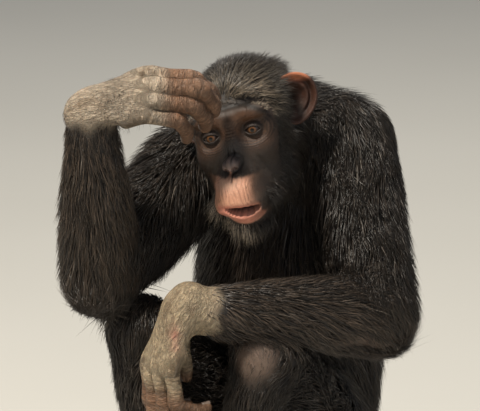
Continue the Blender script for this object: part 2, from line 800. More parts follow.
def net_of(distance: Field, low: Array, high: Array, step: float) -> tuple[Array, Array]:
    """A surface net of a distance function in a box, pulled onto its surface.

    Args:
        distance: gives the distance at rows of points.
        low: the box's lowest corner.
        high: the box's highest corner.
        step: the grid's spacing.

    Returns:
        Points and quads.
    """
    axes = [np.arange(a, b + step, step) for a, b in zip(low, high)]
    grid = np.stack(np.meshgrid(*axes, indexing="ij"), -1)
    points, quads = surface_net(distance(grid), np.array([a[0] for a in axes]), step)
    for _ in range(2):
        gap, slope = slope_of(distance, points, step * 0.25)
        points = points - slope * np.clip(gap, -step, step)[:, None] * 0.9
    return points, quads


def slope_of(distance: Field, points: Array, step: float) -> tuple[Array, Array]:
    """The distance at points and the unit slope there, by differences of one step."""
    gap = distance(points)
    slope = np.stack([distance(points + np.eye(3)[k] * step) - gap for k in range(3)], -1)
    return gap, unit(slope)


def mesh_object(name: str, points: Array, faces: list[Array], uv: Array | None = None) -> Item:
    """An object of a mesh set from whole arrays.

    Args:
        name: the piece's name.
        points: rows of x, y, z in metres.
        faces: arrays of corner numbers, one array for each count of corners.
        uv: a place on the map named OFBake for each point, if any.

    Returns:
        The object, linked to the scene.
    """
    mesh = bpy.data.meshes.new(name)
    mesh.vertices.add(len(points))
    mesh.vertices.foreach_set("co", np.asarray(points, np.float32).ravel())
    loops = np.concatenate([np.asarray(f).ravel() for f in faces]).astype(np.int32)
    sizes = np.concatenate([np.full(len(f), f.shape[1]) for f in faces])
    starts = np.concatenate([[0], np.cumsum(sizes)[:-1]]).astype(np.int32)
    mesh.loops.add(len(loops))
    mesh.loops.foreach_set("vertex_index", loops)
    mesh.polygons.add(len(sizes))
    mesh.polygons.foreach_set("loop_start", starts)
    mesh.update(calc_edges=True)
    mesh.polygons.foreach_set("use_smooth", np.ones(len(sizes), bool))
    if uv is not None:
        layer = mesh.uv_layers.new(name="OFBake")
        layer.data.foreach_set("uv", uv[loops].astype(np.float32).ravel())
    item = bpy.data.objects.new(name, mesh)
    bpy.context.scene.collection.objects.link(item)
    return item


def grid_faces(rows: int, sides: int) -> list[Array]:
    """Quads between rows of points round a body, and triangles to a pole at each end."""
    here = np.arange(sides)
    after = (here + 1) % sides
    low = (np.arange(rows - 1) * sides)[:, None]
    high = low + sides
    quads = np.stack([low + here, low + after, high + after, high + here], -1).reshape(-1, 4)
    start, end, top = rows * sides, rows * sides + 1, (rows - 1) * sides
    first = np.stack([np.full(sides, start), after, here], 1)
    last = np.stack([np.full(sides, end), top + here, top + after], 1)
    return [quads, np.vstack([first, last])]


def colour_attribute(item: Item, name: str, colours: Array) -> None:
    """Gives every point of a mesh its own colour, under a name that the materials read."""
    layer = item.data.color_attributes.new(name, "FLOAT_COLOR", "POINT")
    rgba = np.ones((len(colours), 4), np.float32)
    rgba[:, : colours.shape[1]] = colours
    layer.data.foreach_set("color", rgba.ravel())


def read_points(item: Item) -> Array:
    """The points of an object's mesh."""
    points = np.empty(len(item.data.vertices) * 3, np.float32)
    item.data.vertices.foreach_get("co", points)
    return points.reshape(-1, 3).astype(float)


def triangle_count(item: Item) -> int:
    """How many triangles an object's mesh makes."""
    item.data.calc_loop_triangles()
    return len(item.data.loop_triangles)


@dataclass
class Ear:
    """An ear: an oval cup with a rolled rim, an inner ridge, a hollow and a lobe.

    Its frame is in millimetres: X back from the root, Z up, -Y out to the front.
    """

    sign: int
    place: Triple = (43.6, 53.0, 15.6)
    half_height: float = 26.5
    half_width: float = 23.5
    rim: float = 4.6
    thick: float = 2.4
    root: float = 12.0
    turn: float = 36.0
    lean: float = 14.0

    def surface(self, share: Array, angle: Array, back: bool) -> Array:
        """Points of the ear's front or back.

        The front bends from a dish 1 - s^2 with a rim and an inner ridge as bell curves of
        s, and a hollow at the root; the back is the same, moved out by the thickness.

        Args:
            share: 0 at the middle, 1 at the rim.
            angle: round the ear, 0 at its back edge.
            back: whether to give the back.

        Returns:
            Points in the ear's frame.
        """
        egg = 1 + 0.15 * np.sin(angle)
        x = 16 + share * self.half_width * np.cos(angle) * egg
        z = share * self.half_height * np.sin(angle)
        flat = np.stack([x, z], -1)
        hollow = spot(flat, (9, 1), (10, 11))
        behind = ramp(np.cos(angle - 0.8), -0.45, 0.35)
        broad = 0.09 + 0.12 * bell(angle - 2.2, 0.8)
        rim = self.rim * bell(share - 0.92, broad) * (0.35 + 0.65 * behind)
        ridge = 3.0 * bell(share - 0.6, 0.11) * behind
        fold = 1.2 * bell(angle - 0.9, 0.25) * ramp(share, 0.3, 0.6) * fall(share, 0.7, 0.9)
        lobes = 3.4 * spot(flat, (17, -12.5), (3.0, 6))
        lobes = lobes + 3.0 * spot(flat, (8, -10), (3.2, 4))
        fold = fold + lobes
        y = 11 * hollow + 7.0 * (1 - share**2) - rim - 0.1 * (x - 16)
        if back:
            y = y + self.thick + self.root * hollow
        else:
            y = y - ridge - fold + 1.6 * bell(share - 0.78, 0.07) * behind
        return np.stack([x, y, z], -1)

    def near(self, points: Array) -> tuple[Array, Array, Array]:
        """Where points lie on the ear.

        Returns:
            1 on the ear and 0 away from it; the share to the rim; and the ear's own places.
        """
        q = moved(points, np.linalg.inv(np.array(self.matrix())))
        u, v = (q[:, 0] - 16) / self.half_width, q[:, 2] / self.half_height
        share = np.hypot(u / (1 + 0.15 * v / np.maximum(np.hypot(u, v), 0.1)), v)
        found = fall(share, 1.06, 1.16) * fall(np.abs(q[:, 1] - 6), 17, 20) * ramp(q[:, 0], -3, 2)
        return found, share, q

    def matrix(self) -> Matrix:
        """Carries the ear's own frame to the model's."""
        mirror = Matrix.Scale(self.sign, 4, (1, 0, 0))
        turn = Matrix.Rotation(math.radians(self.turn), 4, "Z")
        turn = turn @ Matrix.Rotation(math.radians(self.lean), 4, "Y")
        return BONES.head_matrix() @ mirror @ Matrix.Translation(self.place) @ turn

    def build(self, name: str) -> Item:
        """The ear as a closed thin shell, in the model's frame."""
        share = np.concatenate([np.linspace(0.06, 0.9, 20), [0.94, 0.975, 1.0]])[:, None]
        angle = np.linspace(0, 2 * math.pi, 84, endpoint=False)[None, :]
        front = self.surface(share, angle, False)
        rear = self.surface(share, angle, True)[::-1]
        edge = (front[-1:] + rear[:1]) / 2
        outward = edge - edge.mean(1, keepdims=True)
        edge = edge + unit(outward) * 1.0
        ring = np.vstack([front, edge, rear])
        tips = [front[0].mean(0), rear[-1].mean(0)]
        points = np.vstack([ring.reshape(-1, 3), tips])
        faces = grid_faces(len(ring), ring.shape[1])
        if self.sign < 0:
            faces = [f[:, ::-1] for f in faces]
        faces = [f[:, ::-1] for f in faces]
        return mesh_object(name, moved(points, self.matrix()), faces)


def on_ears(points: Array) -> Array:
    """1 on either ear, 0 away from them."""
    return np.maximum(*[Ear(sign).near(points)[0] for sign in (1, -1)])


def own_space(owner: "Hand | Foot", points: Array) -> Array:
    """Points in the frame of a hand or foot, in metres."""
    return moved(points, np.linalg.inv(owner.matrix()))


def head_space(points: Array) -> Array:
    """Points in the head's frame, in millimetres."""
    return moved(points, HEAD_INVERSE)


class Paint:
    """The skin's and coat's markings, as soft spots in the frames of the parts."""

    FACE = np.array([0.036, 0.026, 0.02])
    BROW = np.array([0.092, 0.041, 0.02])
    NOSE = np.array([0.042, 0.037, 0.035])
    PAD = np.array([0.15, 0.108, 0.094])
    LIP = np.array([0.56, 0.225, 0.155])
    MUZZLE = np.array([0.56, 0.285, 0.185])
    SHADE = np.array([0.17, 0.095, 0.062])
    MOUTH = np.array([0.17, 0.055, 0.042])
    EAR = np.array([0.036, 0.015, 0.009])
    EAR_RIM = np.array([0.42, 0.15, 0.075])
    HAND = np.array([0.43, 0.345, 0.255])
    FINGER = np.array([0.185, 0.092, 0.05])
    PINK = np.array([0.42, 0.185, 0.135])
    SCALP = np.array([0.016, 0.013, 0.011])
    FOOT = np.array([0.2, 0.135, 0.1])
    KNEE = np.array([0.155, 0.108, 0.083])
    LID = np.array([0.022, 0.015, 0.012])
    FACE_SPOTS = (
        (BROW, 0.95, (21, -6, 15), (17, 14, 8)),
        (BROW * 0.62, 0.85, (23, 0, -13), (14, 16, 8)),
        (BROW * 0.7, 0.7, (37, 12, -6), (9, 20, 18)),
        (BROW * 0.7, 0.8, (6, -8, 3), (9, 20, 9)),
        (NOSE, 0.9, (0, -12, -17), (12, 20, 12)),
    )

    @staticmethod
    def lay(base: Array, colour: Array, share: Array) -> Array:
        """One colour laid over another by a share at each point."""
        return base + (colour - base) * np.clip(share, 0, 1)[:, None]

    def layers(self, tone: Array, *layers: tuple[Array, Array]) -> Array:
        """Colours laid over one another in turn, each by its own share."""
        for colour, share in layers:
            tone = self.lay(tone, colour, share)
        return tone

    def face(self, p: Array) -> Array:
        """The head's colours at points in the head's frame."""
        bare = 1 - HEAD.coat_share(p)
        p = HEAD.bent(p)
        q = mirrored(p)
        x, y, z = p.T
        tone = np.repeat(self.FACE[None], len(p), 0)
        arch = bell(z - HEAD.hairline(x) + 3.5, 3.0) * fall(y, 4, 16)
        front = ramp(-y, -22, 4)
        upper, lower = HEAD.mouth_line(x)
        edge = 37.5 + 0.12 * (x + 24) + 1.2 * NOISE(p, 4.0)
        muzzle = ramp(-z - edge, -1.5, 2.5) * fall(lower - z, 8.5, 12) * front
        corner = x - 8.0 * fall(-z, 38, 54)
        side = ramp(-z, 58, 64) * fall(np.abs(x + 1.0), 20.5, 23.5) * front
        lips = side * fall(lower - z, 8.5, 11) * fall(z - upper, 1.5, 5)
        tone = self.layers(
            tone,
            (self.SCALP, 1 - bare),
            *[(colour, share * spot(q, *place)) for colour, share, *place in self.FACE_SPOTS],
            (self.SCALP * 0.7, 0.95 * arch),
            (self.PAD, 1.5 * spot(p, (-0.6, -28, -27), (9.5, 12, 8))),
            (self.PAD * 2.4, 1.3 * spot(p, (-0.6, -29, -32.6), (7, 10, 1.9))),
            (self.SHADE * 0.7, muzzle * fall(x, 13, 28) * ramp(x, -34, -28)),
            (self.MUZZLE, muzzle * fall(x, 11, 21) * ramp(corner, -33, -28)),
            (self.MUZZLE * [1.1, 1.4, 1.6], 0.6 * muzzle * spot(p, (-8, -34, -44), (16, 20, 9))),
            (self.LIP, lips),
            (self.SHADE, 0.6 * lips * ramp(x, 4, 20)),
        )
        tone = tone * (1 - 0.86 * HEAD.lip_lines(p))[:, None]
        within = ramp(upper - z, -0.4, 1.0) * ramp(z - lower, -0.4, 1.0)
        deep = within * fall(np.abs(x), HEAD.mouth_half - 1, HEAD.mouth_half + 1) * ramp(-y, -6, 6)
        hole = np.clip(1.6 - np.linalg.norm((q - [4.4, -27, -33]) / [2.9, 6, 2.5], axis=1), 0, 1)
        folds = bell(np.abs(x + 0.6) - 3.1, 0.8) * spot(p * [0, 0, 1], (0, 0, -19.5), (1, 1, 7))
        wing = bell(np.hypot(x * 0.9, z + 27.5) - 9.6, 1.1) * ramp(-y, 8, 14)
        philtrum = bell(x - 1.0 - 0.18 * (z + 36), 0.9) * ramp(-z, 33, 35)
        philtrum = philtrum * fall(-z, 43, 47) * ramp(-y, 8, 14)
        strip = bell(x + 2.0 - 0.22 * (z + 36), 1.5) * ramp(-z, 33.5, 35)
        strip = strip * fall(-z, 40, 44) * ramp(-y, 8, 14)
        tone = self.layers(
            tone,
            (self.MOUTH, deep),
            (self.MOUTH * 0.35, deep * ramp(y, -34, -26)),
            (self.MOUTH * 0.15, hole),
            (self.SCALP * 0.6, 0.9 * folds * ramp(-y, 2, 10)),
            (self.SCALP * 0.6, 0.85 * wing),
            (self.MUZZLE * 0.7, 0.9 * strip),
            (self.SCALP, 0.8 * philtrum),
        )
        reach = HEAD.eye_reach(q)
        rings = 0.5 + 0.5 * np.sin(reach * 2.1 + 1.2 * NOISE(p, 9.0))
        around = ramp(reach, 12.5, 15) * fall(reach, 21, 27) * ramp(-y, -16, -4)
        outer = 0.3 + 0.7 * ramp(q[:, 0] - q[:, 2], 18, 32)
        tone = tone * (1 + 0.25 * around)[:, None] * (1 - 0.75 * around * outer * rings)[:, None]
        lid = np.hypot((q[:, 0] - HEAD.eye[0]) / 10.5, (q[:, 2] - 0.3) / 7.6)
        return self.lay(tone, self.LID, 0.92 * fall(lid, 0.85, 1.25) * ramp(-y, -14, -8))

    def ears(self, tone: Array, points: Array) -> Array:
        """The ears' colours over others: bright at the upper rim, dark in the hollow."""
        for ear in (Ear(1), Ear(-1)):
            mask, share, q = ear.near(points)
            x, z = q[:, 0], q[:, 2]
            flat = np.stack([x, 0 * x, z], 1)
            own = self.layers(
                np.repeat(self.EAR[None], len(points), 0),
                (self.EAR * 1.6, 0.8 * spot(flat, (17, 0, 14), (16, 1, 12))),
                (self.SCALP * 1.2, 1.15 * spot(flat, (10, 0, 1), (9, 1, 8))),
                (self.SCALP * 1.5, 0.9 * spot(flat, (13, 0, -11), (2.4, 1, 6))),
                (self.SCALP * 2.0, 0.6 * spot(flat, (23, 0, -13), (3.5, 1, 6))),
                (self.EAR * 1.4, ramp(share, 0.8, 0.9)),
                (self.EAR_RIM, ramp(share, 0.6, 0.76) * ramp(z - 0.7 * (x - 12), 4, 15)),
            )
            tone = self.lay(tone, own, mask)
        return tone

    def skin(self, points: Array, kinds: dict[str, Array]) -> Array:
        """The skin's colours at points, by the share of each kind of skin there."""
        tone = np.repeat(self.SCALP[None], len(points), 0)
        tone = self.lay(tone, self.face(head_space(points)), kinds["head"])
        tone = self.lay(tone, self.ears(tone, points), kinds["ear"])
        for side in SIDES:
            q = own_space(HANDS[side], points) / MM
            hand = kinds[f"hand_{side}"]
            mottle = ramp(NOISE(q + 5.0, 14.0) + 0.6 * NOISE(q, 5.0), 0.0, 0.9)
            tone = self.layers(
                tone,
                (self.HAND, hand),
                *([(self.HAND * [0.92, 0.89, 0.78], hand)] if side == "left" else []),
                (self.HAND * [0.44, 0.37, 0.3], 0.75 * mottle * hand),
                (self.FINGER, 0.9 * ramp(q[:, 0] - q[:, 2] * 0.6, 74, 100) * hand),
                (self.FOOT, kinds[f"foot_{side}"]),
            )
        scrape = spot(points, (-0.106, -0.222, 0.262), (0.006, 0.02, 0.014))
        return self.layers(
            tone,
            *[(self.KNEE, 1.6 * spot(points, *patch)) for patch in BARE_PATCHES],
            (self.HAND * 0.38, 0.8 * spot(points, HAND_HAIR, (0.02, 0.04, 0.026))),
            (self.PINK, 1.1 * scrape * (0.7 + 0.5 * NOISE(points, 0.004))),
        )


# Rubbed patches of bare skin on the knees and forearm: place and radii, in metres
BARE_PATCHES = (
    ((-0.024, -0.21, 0.236), (0.023, 0.034, 0.02)),
    ((0.064, -0.19, 0.252), (0.024, 0.036, 0.009)),
    ((0.108, -0.17, 0.246), (0.02, 0.036, 0.009)),
)
# The middle of the hair on the back of the raised hand, in metres
HAND_HAIR = (-0.163, -0.2, 0.506)
HEAD = Head()
FLESH = Flesh()
HANDS = {side: Hand(side) for side in SIDES}
FEET = {side: Foot(side) for side in SIDES}
PAINT = Paint()


@dataclass
class Skin:
    """The whole animal's skin: body, head, ears, hands and feet as one closed surface."""

    body_step: float = 0.0062
    hand_step: float = 0.00228
    foot_step: float = 0.003
    floor: float = 0.0006

    def body_distance(self, points: Array) -> Array:
        """The body with its hands and feet, cut where their finer skin takes over."""
        found = FLESH.distance(points)
        for side in SIDES:
            ends = (
                (BONES.elbow[side], BONES.wrist[side], FLESH.wrist_plane(side, points)),
                (BONES.knee[side], BONES.ankle[side], FLESH.ankle_plane(side, points)),
            )
            for start, end, past in ends:
                gap = points - np.array(end)
                axis = unit(np.array(end) - np.array(start))
                radial = np.linalg.norm(gap - (gap @ axis)[..., None] * axis, axis=-1)
                found = np.maximum(found, np.minimum(past - 0.004, 0.036 - radial))
        return np.maximum(found, self.floor - points[..., 2])

    def part_distance(self, part: Digits, limb: Limb, plane: Field, points: Array) -> Array:
        """A hand or foot with the end of its limb, thinned where it dives into the body."""
        past = plane(points)
        found = smooth_union(part.distance(points), limb.distance(points, 0.03), 0.007)
        found = found + 0.0012 * fall(past, 0.0, 0.018)
        return np.maximum(np.maximum(found, -past - 0.004), self.floor - points[..., 2])

    def part(self, name: str, part: Digits, limb: Limb, plane: Field, step: float) -> Item:
        """The skin of one hand or foot."""
        boxes = [part.palm_limb, *part.fingers]
        low = np.min([b.low for b in boxes], 0) - 0.006
        high = np.max([b.high for b in boxes], 0) + 0.006
        ends = limb.path[int(len(limb.path) * 0.62) :]
        low = np.minimum(low, ends.min(0) - 0.034)
        high = np.maximum(high, ends.max(0) + 0.034)
        points, quads = net_of(lambda p: self.part_distance(part, limb, plane, p), low, high, step)
        return mesh_object(name, points, [quads])

    def head(self) -> Item:
        """The head's skin, with the folds of the face."""
        ring = HEAD.ring()
        rows, columns = ring.shape[:2]
        ring = self.folds(ring)
        points = np.vstack([ring.reshape(-1, 3), ring[0].mean(0), ring[-1].mean(0)])
        return mesh_object("skin_head", moved(points, HEAD_MATRIX), grid_faces(rows, columns))

    def folds(self, ring: Array) -> Array:
        """The face's folds, as shallow grooves across the surface.

        Args:
            ring: rows of points in the head's frame.

        Returns:
            The rows, moved along their normals by sums of narrow waves in soft spots.
        """
        across = np.roll(ring, -1, 1) - np.roll(ring, 1, 1)
        normal = unit(np.cross(across, np.gradient(ring, axis=0)))
        p = HEAD.bent(ring.reshape(-1, 3))
        q = mirrored(p)
        x, y, z = p.T
        a, _, c = q.T
        wobble = NOISE(p, 9.0)
        rise = np.zeros(len(p))
        rise -= 1.9 * HEAD.lip_lines(p)
        rise += 0.12 * spot(p, (0, -34, -84), (20, 26, 5)) * np.sin(x * 1.9 + wobble * 3)
        reach = HEAD.eye_reach(q)
        rings = np.sin(reach * 2.25 + wobble * 1.2)
        around = ramp(reach, 12.5, 15) * fall(reach, 21, 26) * ramp(-y, -16, -4)
        under = 0.25 + 0.75 * ramp(a - c, 20, 34)
        rise += 0.42 * around * under * rings * (0.6 + 0.6 * NOISE(p + 3.0, 6.0))
        crease = bell(reach - 11.3, 0.9) * ramp(-y, -16, -4)
        rise -= 0.55 * crease
        arch = HEAD.hairline(x) - 4.0
        rise -= 0.9 * bell(z - arch, 1.7) * fall(y, 4, 16)
        rise += 0.26 * spot(p, (0, -2, 20), (26, 22, 7)) * np.sin(c * 1.9 + 1.2 * wobble)
        rise += 0.4 * spot(p, (0, -10, 1), (7, 16, 8)) * np.sin(z * 1.9 + wobble)
        sides = spot(p, (0, -10, -14), (12, 16, 7))
        rise += 0.3 * sides * np.sin((np.abs(x) + 0.4 * z) * 1.9 + wobble)
        nose = bell(np.abs(x + 0.6) - 3.1, 0.75) * bell(z + 19.5, 6)
        rise -= 1.5 * nose * ramp(-y, 2, 10)
        wing = bell(np.hypot(x * 0.9, z + 27.5) - 9.6, 1.0)
        rise -= 0.8 * wing * ramp(-y, 8, 14)
        philtrum = bell(x - 1.0 - 0.18 * (z + 36), 0.9)
        rise -= 1.0 * philtrum * ramp(-z, 32, 34) * fall(-z, 43, 47) * ramp(-y, 8, 14)
        cheek = spot(q, (24, 0, -36), (10, 26, 16))
        rise += 0.5 * cheek * np.sin((a * 0.9 + c * 0.42) * 0.95 + wobble * 1.4)
        rise += 0.25 * spot(p, (0, -20, -92), (20, 22, 10)) * NOISE(p, 3.0)
        rise += 0.1 * NOISE(p, 1.7) * ramp(-y, -30, 0)
        return ring + normal * rise.reshape(ring.shape[:2])[..., None]

    def build(self) -> Item:
        """The skin as one closed surface, joined by unions.

        Returns:
            The skin's object.
        """
        low = np.min([limb.low for limb in FLESH.limbs.values()], 0) - 0.012
        high = np.max([limb.high for limb in FLESH.limbs.values()], 0) + 0.012
        low[2] = -0.006
        step = self.body_step * 1
        points, quads = net_of(self.body_distance, low, high, step)
        skin = mesh_object("skin", points, [quads])
        parts = [self.head(), Ear(1).build("skin_ear_left"), Ear(-1).build("skin_ear_right")]
        for side in SIDES:
            fore, shin = FLESH.limbs[f"forearm_{side}"], FLESH.limbs[f"shin_{side}"]
            wrist = lambda p, side=side: FLESH.wrist_plane(side, p)
            ankle = lambda p, side=side: FLESH.ankle_plane(side, p)
            hand, foot = HANDS[side].flesh(), FEET[side].flesh()
            parts.append(self.part(f"skin_hand_{side}", hand, fore, wrist, self.hand_step))
            parts.append(self.part(f"skin_foot_{side}", foot, shin, ankle, self.foot_step))
        for part in parts:
            LOG.info("%s has %d triangles", part.name, triangle_count(part))
        group = bpy.data.collections.new("skin_parts")
        bpy.context.scene.collection.children.link(group)
        for part in parts:
            group.objects.link(part)
            bpy.context.scene.collection.objects.unlink(part)
        union = skin.modifiers.new("union", "BOOLEAN")
        union.operation, union.solver, union.operand_type = "UNION", "MANIFOLD", "COLLECTION"
        union.collection = group
        apply_all(skin)
        for part in list(group.objects):
            bpy.data.objects.remove(part, do_unlink=True)
        bpy.data.collections.remove(group)
        skin.data.polygons.foreach_set("use_smooth", np.ones(len(skin.data.polygons), bool))
        return skin

    def kinds(self, points: Array) -> dict[str, Array]:
        """How much each point belongs to the head, the ears, each hand and each foot."""
        p = head_space(points)
        found = {"head": fall(HEAD.distance(p), 1.5, 6.0)}
        ear = on_ears(points) * ramp(HEAD.distance(p), -0.4, 1.5)
        found["ear"] = ear
        found["head"] = found["head"] * (1 - ear)
        for side in SIDES:
            found[f"hand_{side}"] = FLESH.hairless(side, points)
            found[f"foot_{side}"] = fall(FEET[side].flesh().distance(points), 0.004, 0.02)
        return found

    def wrinkle_places(self, points: Array) -> Array:
        """Places in mm that wrinkles follow: long on the hands' backs, across the fingers."""
        found = points / MM
        for side in SIDES:
            hand = HANDS[side].flesh()
            q = own_space(HANDS[side], points) / MM
            back = q * [0.3, 1.0, 1.0]
            near = np.full(len(points), np.inf)
            digit = back.copy()
            for number, finger in enumerate(hand.fingers):
                gap, share, angle, _ = finger.place(points)
                length = np.linalg.norm(np.diff(finger.path, axis=0), axis=1).sum() / MM
                out, up = 2.2 * np.cos(angle) + 40 * number, 2.2 * np.sin(angle)
                own = np.stack([share * length, out, up], 1)
                digit = np.where((gap < near)[:, None], own, digit)
                near = np.minimum(gap, near)
            palm = hand.palm_limb.place(points)[0]
            mixed = back + (digit - back) * ramp(palm - near, -0.001, 0.004)[:, None]
            found = np.where((np.minimum(near, palm) < 0.03)[:, None], mixed, found)
        return found

    def dress(self, skin: Item, finish: "SkinFinish") -> None:
        """Paints the skin and gives it its material."""
        points = read_points(skin)
        kinds = self.kinds(points)
        colour_attribute(skin, "tone", PAINT.skin(points, kinds))
        hands = sum(kinds[f"{part}_{side}"] for part in ("hand", "foot") for side in SIDES)
        masks = np.stack([np.clip(hands, 0, 1), kinds["ear"], kinds["head"]], 1)
        colour_attribute(skin, "kind", masks)
        colour_attribute(skin, "wrinkle", self.wrinkle_places(points))
        skin.data.materials.clear()
        skin.data.materials.append(finish.material())


def apply_all(item: Item) -> None:
    """Applies an object's modifiers to its mesh."""
    bpy.context.view_layer.update()
    evaluated = item.evaluated_get(bpy.context.evaluated_depsgraph_get())
    mesh = bpy.data.meshes.new_from_object(evaluated)
    old = item.data
    item.modifiers.clear()
    item.data = mesh
    bpy.data.meshes.remove(old)
    mesh.name = item.name


class Nodes:
    """A short way to lay out a material's or a group's nodes."""

    def __init__(self, tree: bpy.types.NodeTree) -> None:
        """Keeps the tree."""
        self.tree = tree

    def add(self, kind: str, inputs: dict | None = None, **settings: object) -> bpy.types.Node:
        """A node with its settings, and its inputs set or linked.

        Args:
            kind: the node's type name, without ShaderNode.
            inputs: a value or an output socket for each input, by name or number.
            settings: the node's own properties.

        Returns:
            The node.
        """
        node = self.tree.nodes.new("ShaderNode" + kind)
        for key, value in settings.items():
            setattr(node, key, value)
        self.feed(node, inputs or {})
        return node

    def feed(self, node: bpy.types.Node, inputs: dict) -> None:
        """Links sockets to a node's inputs, and sets the others to their values."""
        for key, value in inputs.items():
            socket = node.inputs[key]
            if isinstance(value, bpy.types.NodeSocket):
                self.tree.links.new(value, socket)
            else:
                socket.default_value = value

    def noise(self, scale: float, detail: float = 2.0, **inputs: object) -> Socket:
        """A noise over the object's own places."""
        place = self.add("TexCoord").outputs["Object"]
        inputs = {"Vector": place, "Scale": scale, "Detail": detail, **inputs}
        return self.add("TexNoise", inputs).outputs["Fac"]

    def read(self, name: str) -> Socket:
        """The colours stored on the mesh under a name."""
        return self.add("Attribute", attribute_name=name).outputs["Color"]

    def scaled(self, colour: Socket, share: Socket) -> Socket:
        """A colour times a share."""
        return self.add("VectorMath", {0: colour, "Scale": share}, operation="SCALE").outputs[0]

    def math(self, operation: str, *values: object) -> Socket:
        """The result of a sum on values or sockets."""
        return self.add("Math", dict(enumerate(values)), operation=operation).outputs[0]

    def mix(self, share: object, first: object, second: object) -> Socket:
        """Two colours mixed by a share."""
        inputs = {0: share, 6: first, 7: second}
        return self.add("Mix", inputs, data_type="RGBA").outputs[2]


def new_material(name: str) -> tuple[Material, Nodes, bpy.types.Node]:
    """A material with its nodes and its Principled BSDF."""
    made = bpy.data.materials.new(name)
    made.use_nodes = True
    return made, Nodes(made.node_tree), made.node_tree.nodes["Principled BSDF"]


def painted(name: str, noise: float, contrast: float, least: float, finish: dict) -> Material:
    """A material of the mesh's own tones, each times least + contrast * noise.

    Args:
        name: the material's name.
        noise: the noise's scale.
        contrast: how far the noise moves the tone.
        least: what is left of the tone where the noise is 0.
        finish: the shader's other inputs.

    Returns:
        The material.
    """
    made, lay, shader = new_material(name)
    shade = lay.math("MULTIPLY_ADD", lay.noise(noise), contrast, least)
    lay.feed(shader, {"Base Color": lay.scaled(lay.read("tone"), shade), **finish})
    return made


@dataclass(frozen=True)
class SkinFinish:
    """Bare skin: its own paint, mottled, with pores, creases and a slight shine."""

    roughness: float = 0.52
    wide_creases: float = 0.17
    fine_creases: float = 0.42

    def creases(self) -> bpy.types.NodeTree:
        """A group that draws lines where a smooth noise passes through its middle.

        Returns:
            The group, with inputs Place and Scale, and the output Height, 0 in the lines.
        """
        name = "skin creases"
        if name in bpy.data.node_groups:
            return bpy.data.node_groups[name]
        tree = bpy.data.node_groups.new(name, "ShaderNodeTree")
        tree.interface.new_socket("Place", in_out="INPUT", socket_type="NodeSocketVector")
        tree.interface.new_socket("Scale", in_out="INPUT", socket_type="NodeSocketFloat")
        tree.interface.new_socket("Height", in_out="OUTPUT", socket_type="NodeSocketFloat")
        lay = Nodes(tree)
        enter = tree.nodes.new("NodeGroupInput")
        leave = tree.nodes.new("NodeGroupOutput")
        inputs = {"Vector": enter.outputs["Place"], "Scale": enter.outputs["Scale"], "Detail": 3.0}
        field_of = lay.add("TexNoise", {**inputs, "Roughness": 0.55}).outputs["Fac"]
        line = lay.math("ABSOLUTE", lay.math("SUBTRACT", field_of, 0.5))
        height = lay.add("MapRange", {"Value": line, 1: 0.0, 2: 0.13, 3: 0.0, 4: 1.0}).outputs[0]
        tree.links.new(height, leave.inputs["Height"])
        return tree

    def material(self) -> Material:
        """The material."""
        made, lay, shader = new_material("skin")
        hands = lay.add("SeparateColor", {0: lay.read("kind")}).outputs[0]
        patches = lay.noise(110.0, 4.0, Roughness=0.6)
        shade = lay.math("MULTIPLY_ADD", patches, 0.55, 0.72)
        shade = lay.math("MULTIPLY", shade, lay.math("MULTIPLY_ADD", lay.noise(700.0), 0.3, 0.85))
        along = lay.add("Attribute", attribute_name="wrinkle").outputs["Vector"]
        wide, thin = (
            lay.add("Group", {"Place": along, "Scale": scale}, node_tree=self.creases()).outputs[0]
            for scale in (self.wide_creases, self.fine_creases)
        )
        folds = lay.math("MULTIPLY_ADD", thin, 0.8, wide)
        groove = lay.math("MULTIPLY", folds, lay.math("MULTIPLY_ADD", hands, 0.85, 0.15))
        pores = lay.math("MULTIPLY", lay.noise(1500.0, 3.0), 0.35)
        height = lay.math("MULTIPLY_ADD", groove, 1.2, pores)
        cut = lay.math("MULTIPLY_ADD", folds, 0.36, 0.44)
        cut = lay.math("MULTIPLY_ADD", lay.math("SUBTRACT", cut, 1.0), hands, 1.0)
        bump = lay.add("Bump", {"Height": height, "Strength": 0.8, "Distance": 0.001})
        finish = {
            "Base Color": lay.scaled(lay.scaled(lay.read("tone"), shade), cut),
            "Normal": bump.outputs[0],
            "Roughness": self.roughness,
            "Subsurface Weight": 0.08,
            "Subsurface Radius": (0.006, 0.0022, 0.0012),
            "Specular IOR Level": 0.3,
        }
        lay.feed(shader, finish)
        return made


@dataclass(frozen=True)
class CoatFinish:
    """Hair: each tuft's own shade, with a sheen."""

    roughness: float = 0.36
    sheen: float = 0.06

    def material(self) -> Material:
        """The material."""
        finish = {
            "Roughness": self.roughness,
            "Sheen Weight": self.sheen,
            "Sheen Tint": (0.75, 0.62, 0.5, 1),
            "Specular IOR Level": 0.5,
        }
        return painted("coat", 420.0, 0.8, 0.6, finish)


@dataclass(frozen=True)
class EyeFinish:
    """A wet eye: its painted iris under a clear coat."""

    def material(self) -> Material:
        """The material."""
        finish = {
            "Roughness": 0.35,
            "Specular IOR Level": 0.15,
            "Coat Weight": 0.4,
            "Coat Roughness": 0.05,
        }
        return painted("eye", 1400.0, 0.9, 0.55, finish)


@dataclass(frozen=True)
class NailFinish:
    """A nail: grey horn, with fine ridges and a soft shine."""

    colour: Triple = (0.16, 0.12, 0.095)

    def material(self) -> Material:
        """The material."""
        made, lay, shader = new_material("nail")
        grain = lay.noise(900.0, 3.0)
        light = tuple(c * 1.5 for c in self.colour) + (1.0,)
        bump = lay.add("Bump", {"Height": grain, "Strength": 0.2, "Distance": 0.0003})
        colour = lay.mix(grain, (*self.colour, 1.0), light)
        lay.feed(shader, {"Base Color": colour, "Normal": bump.outputs[0], "Roughness": 0.35})
        return made


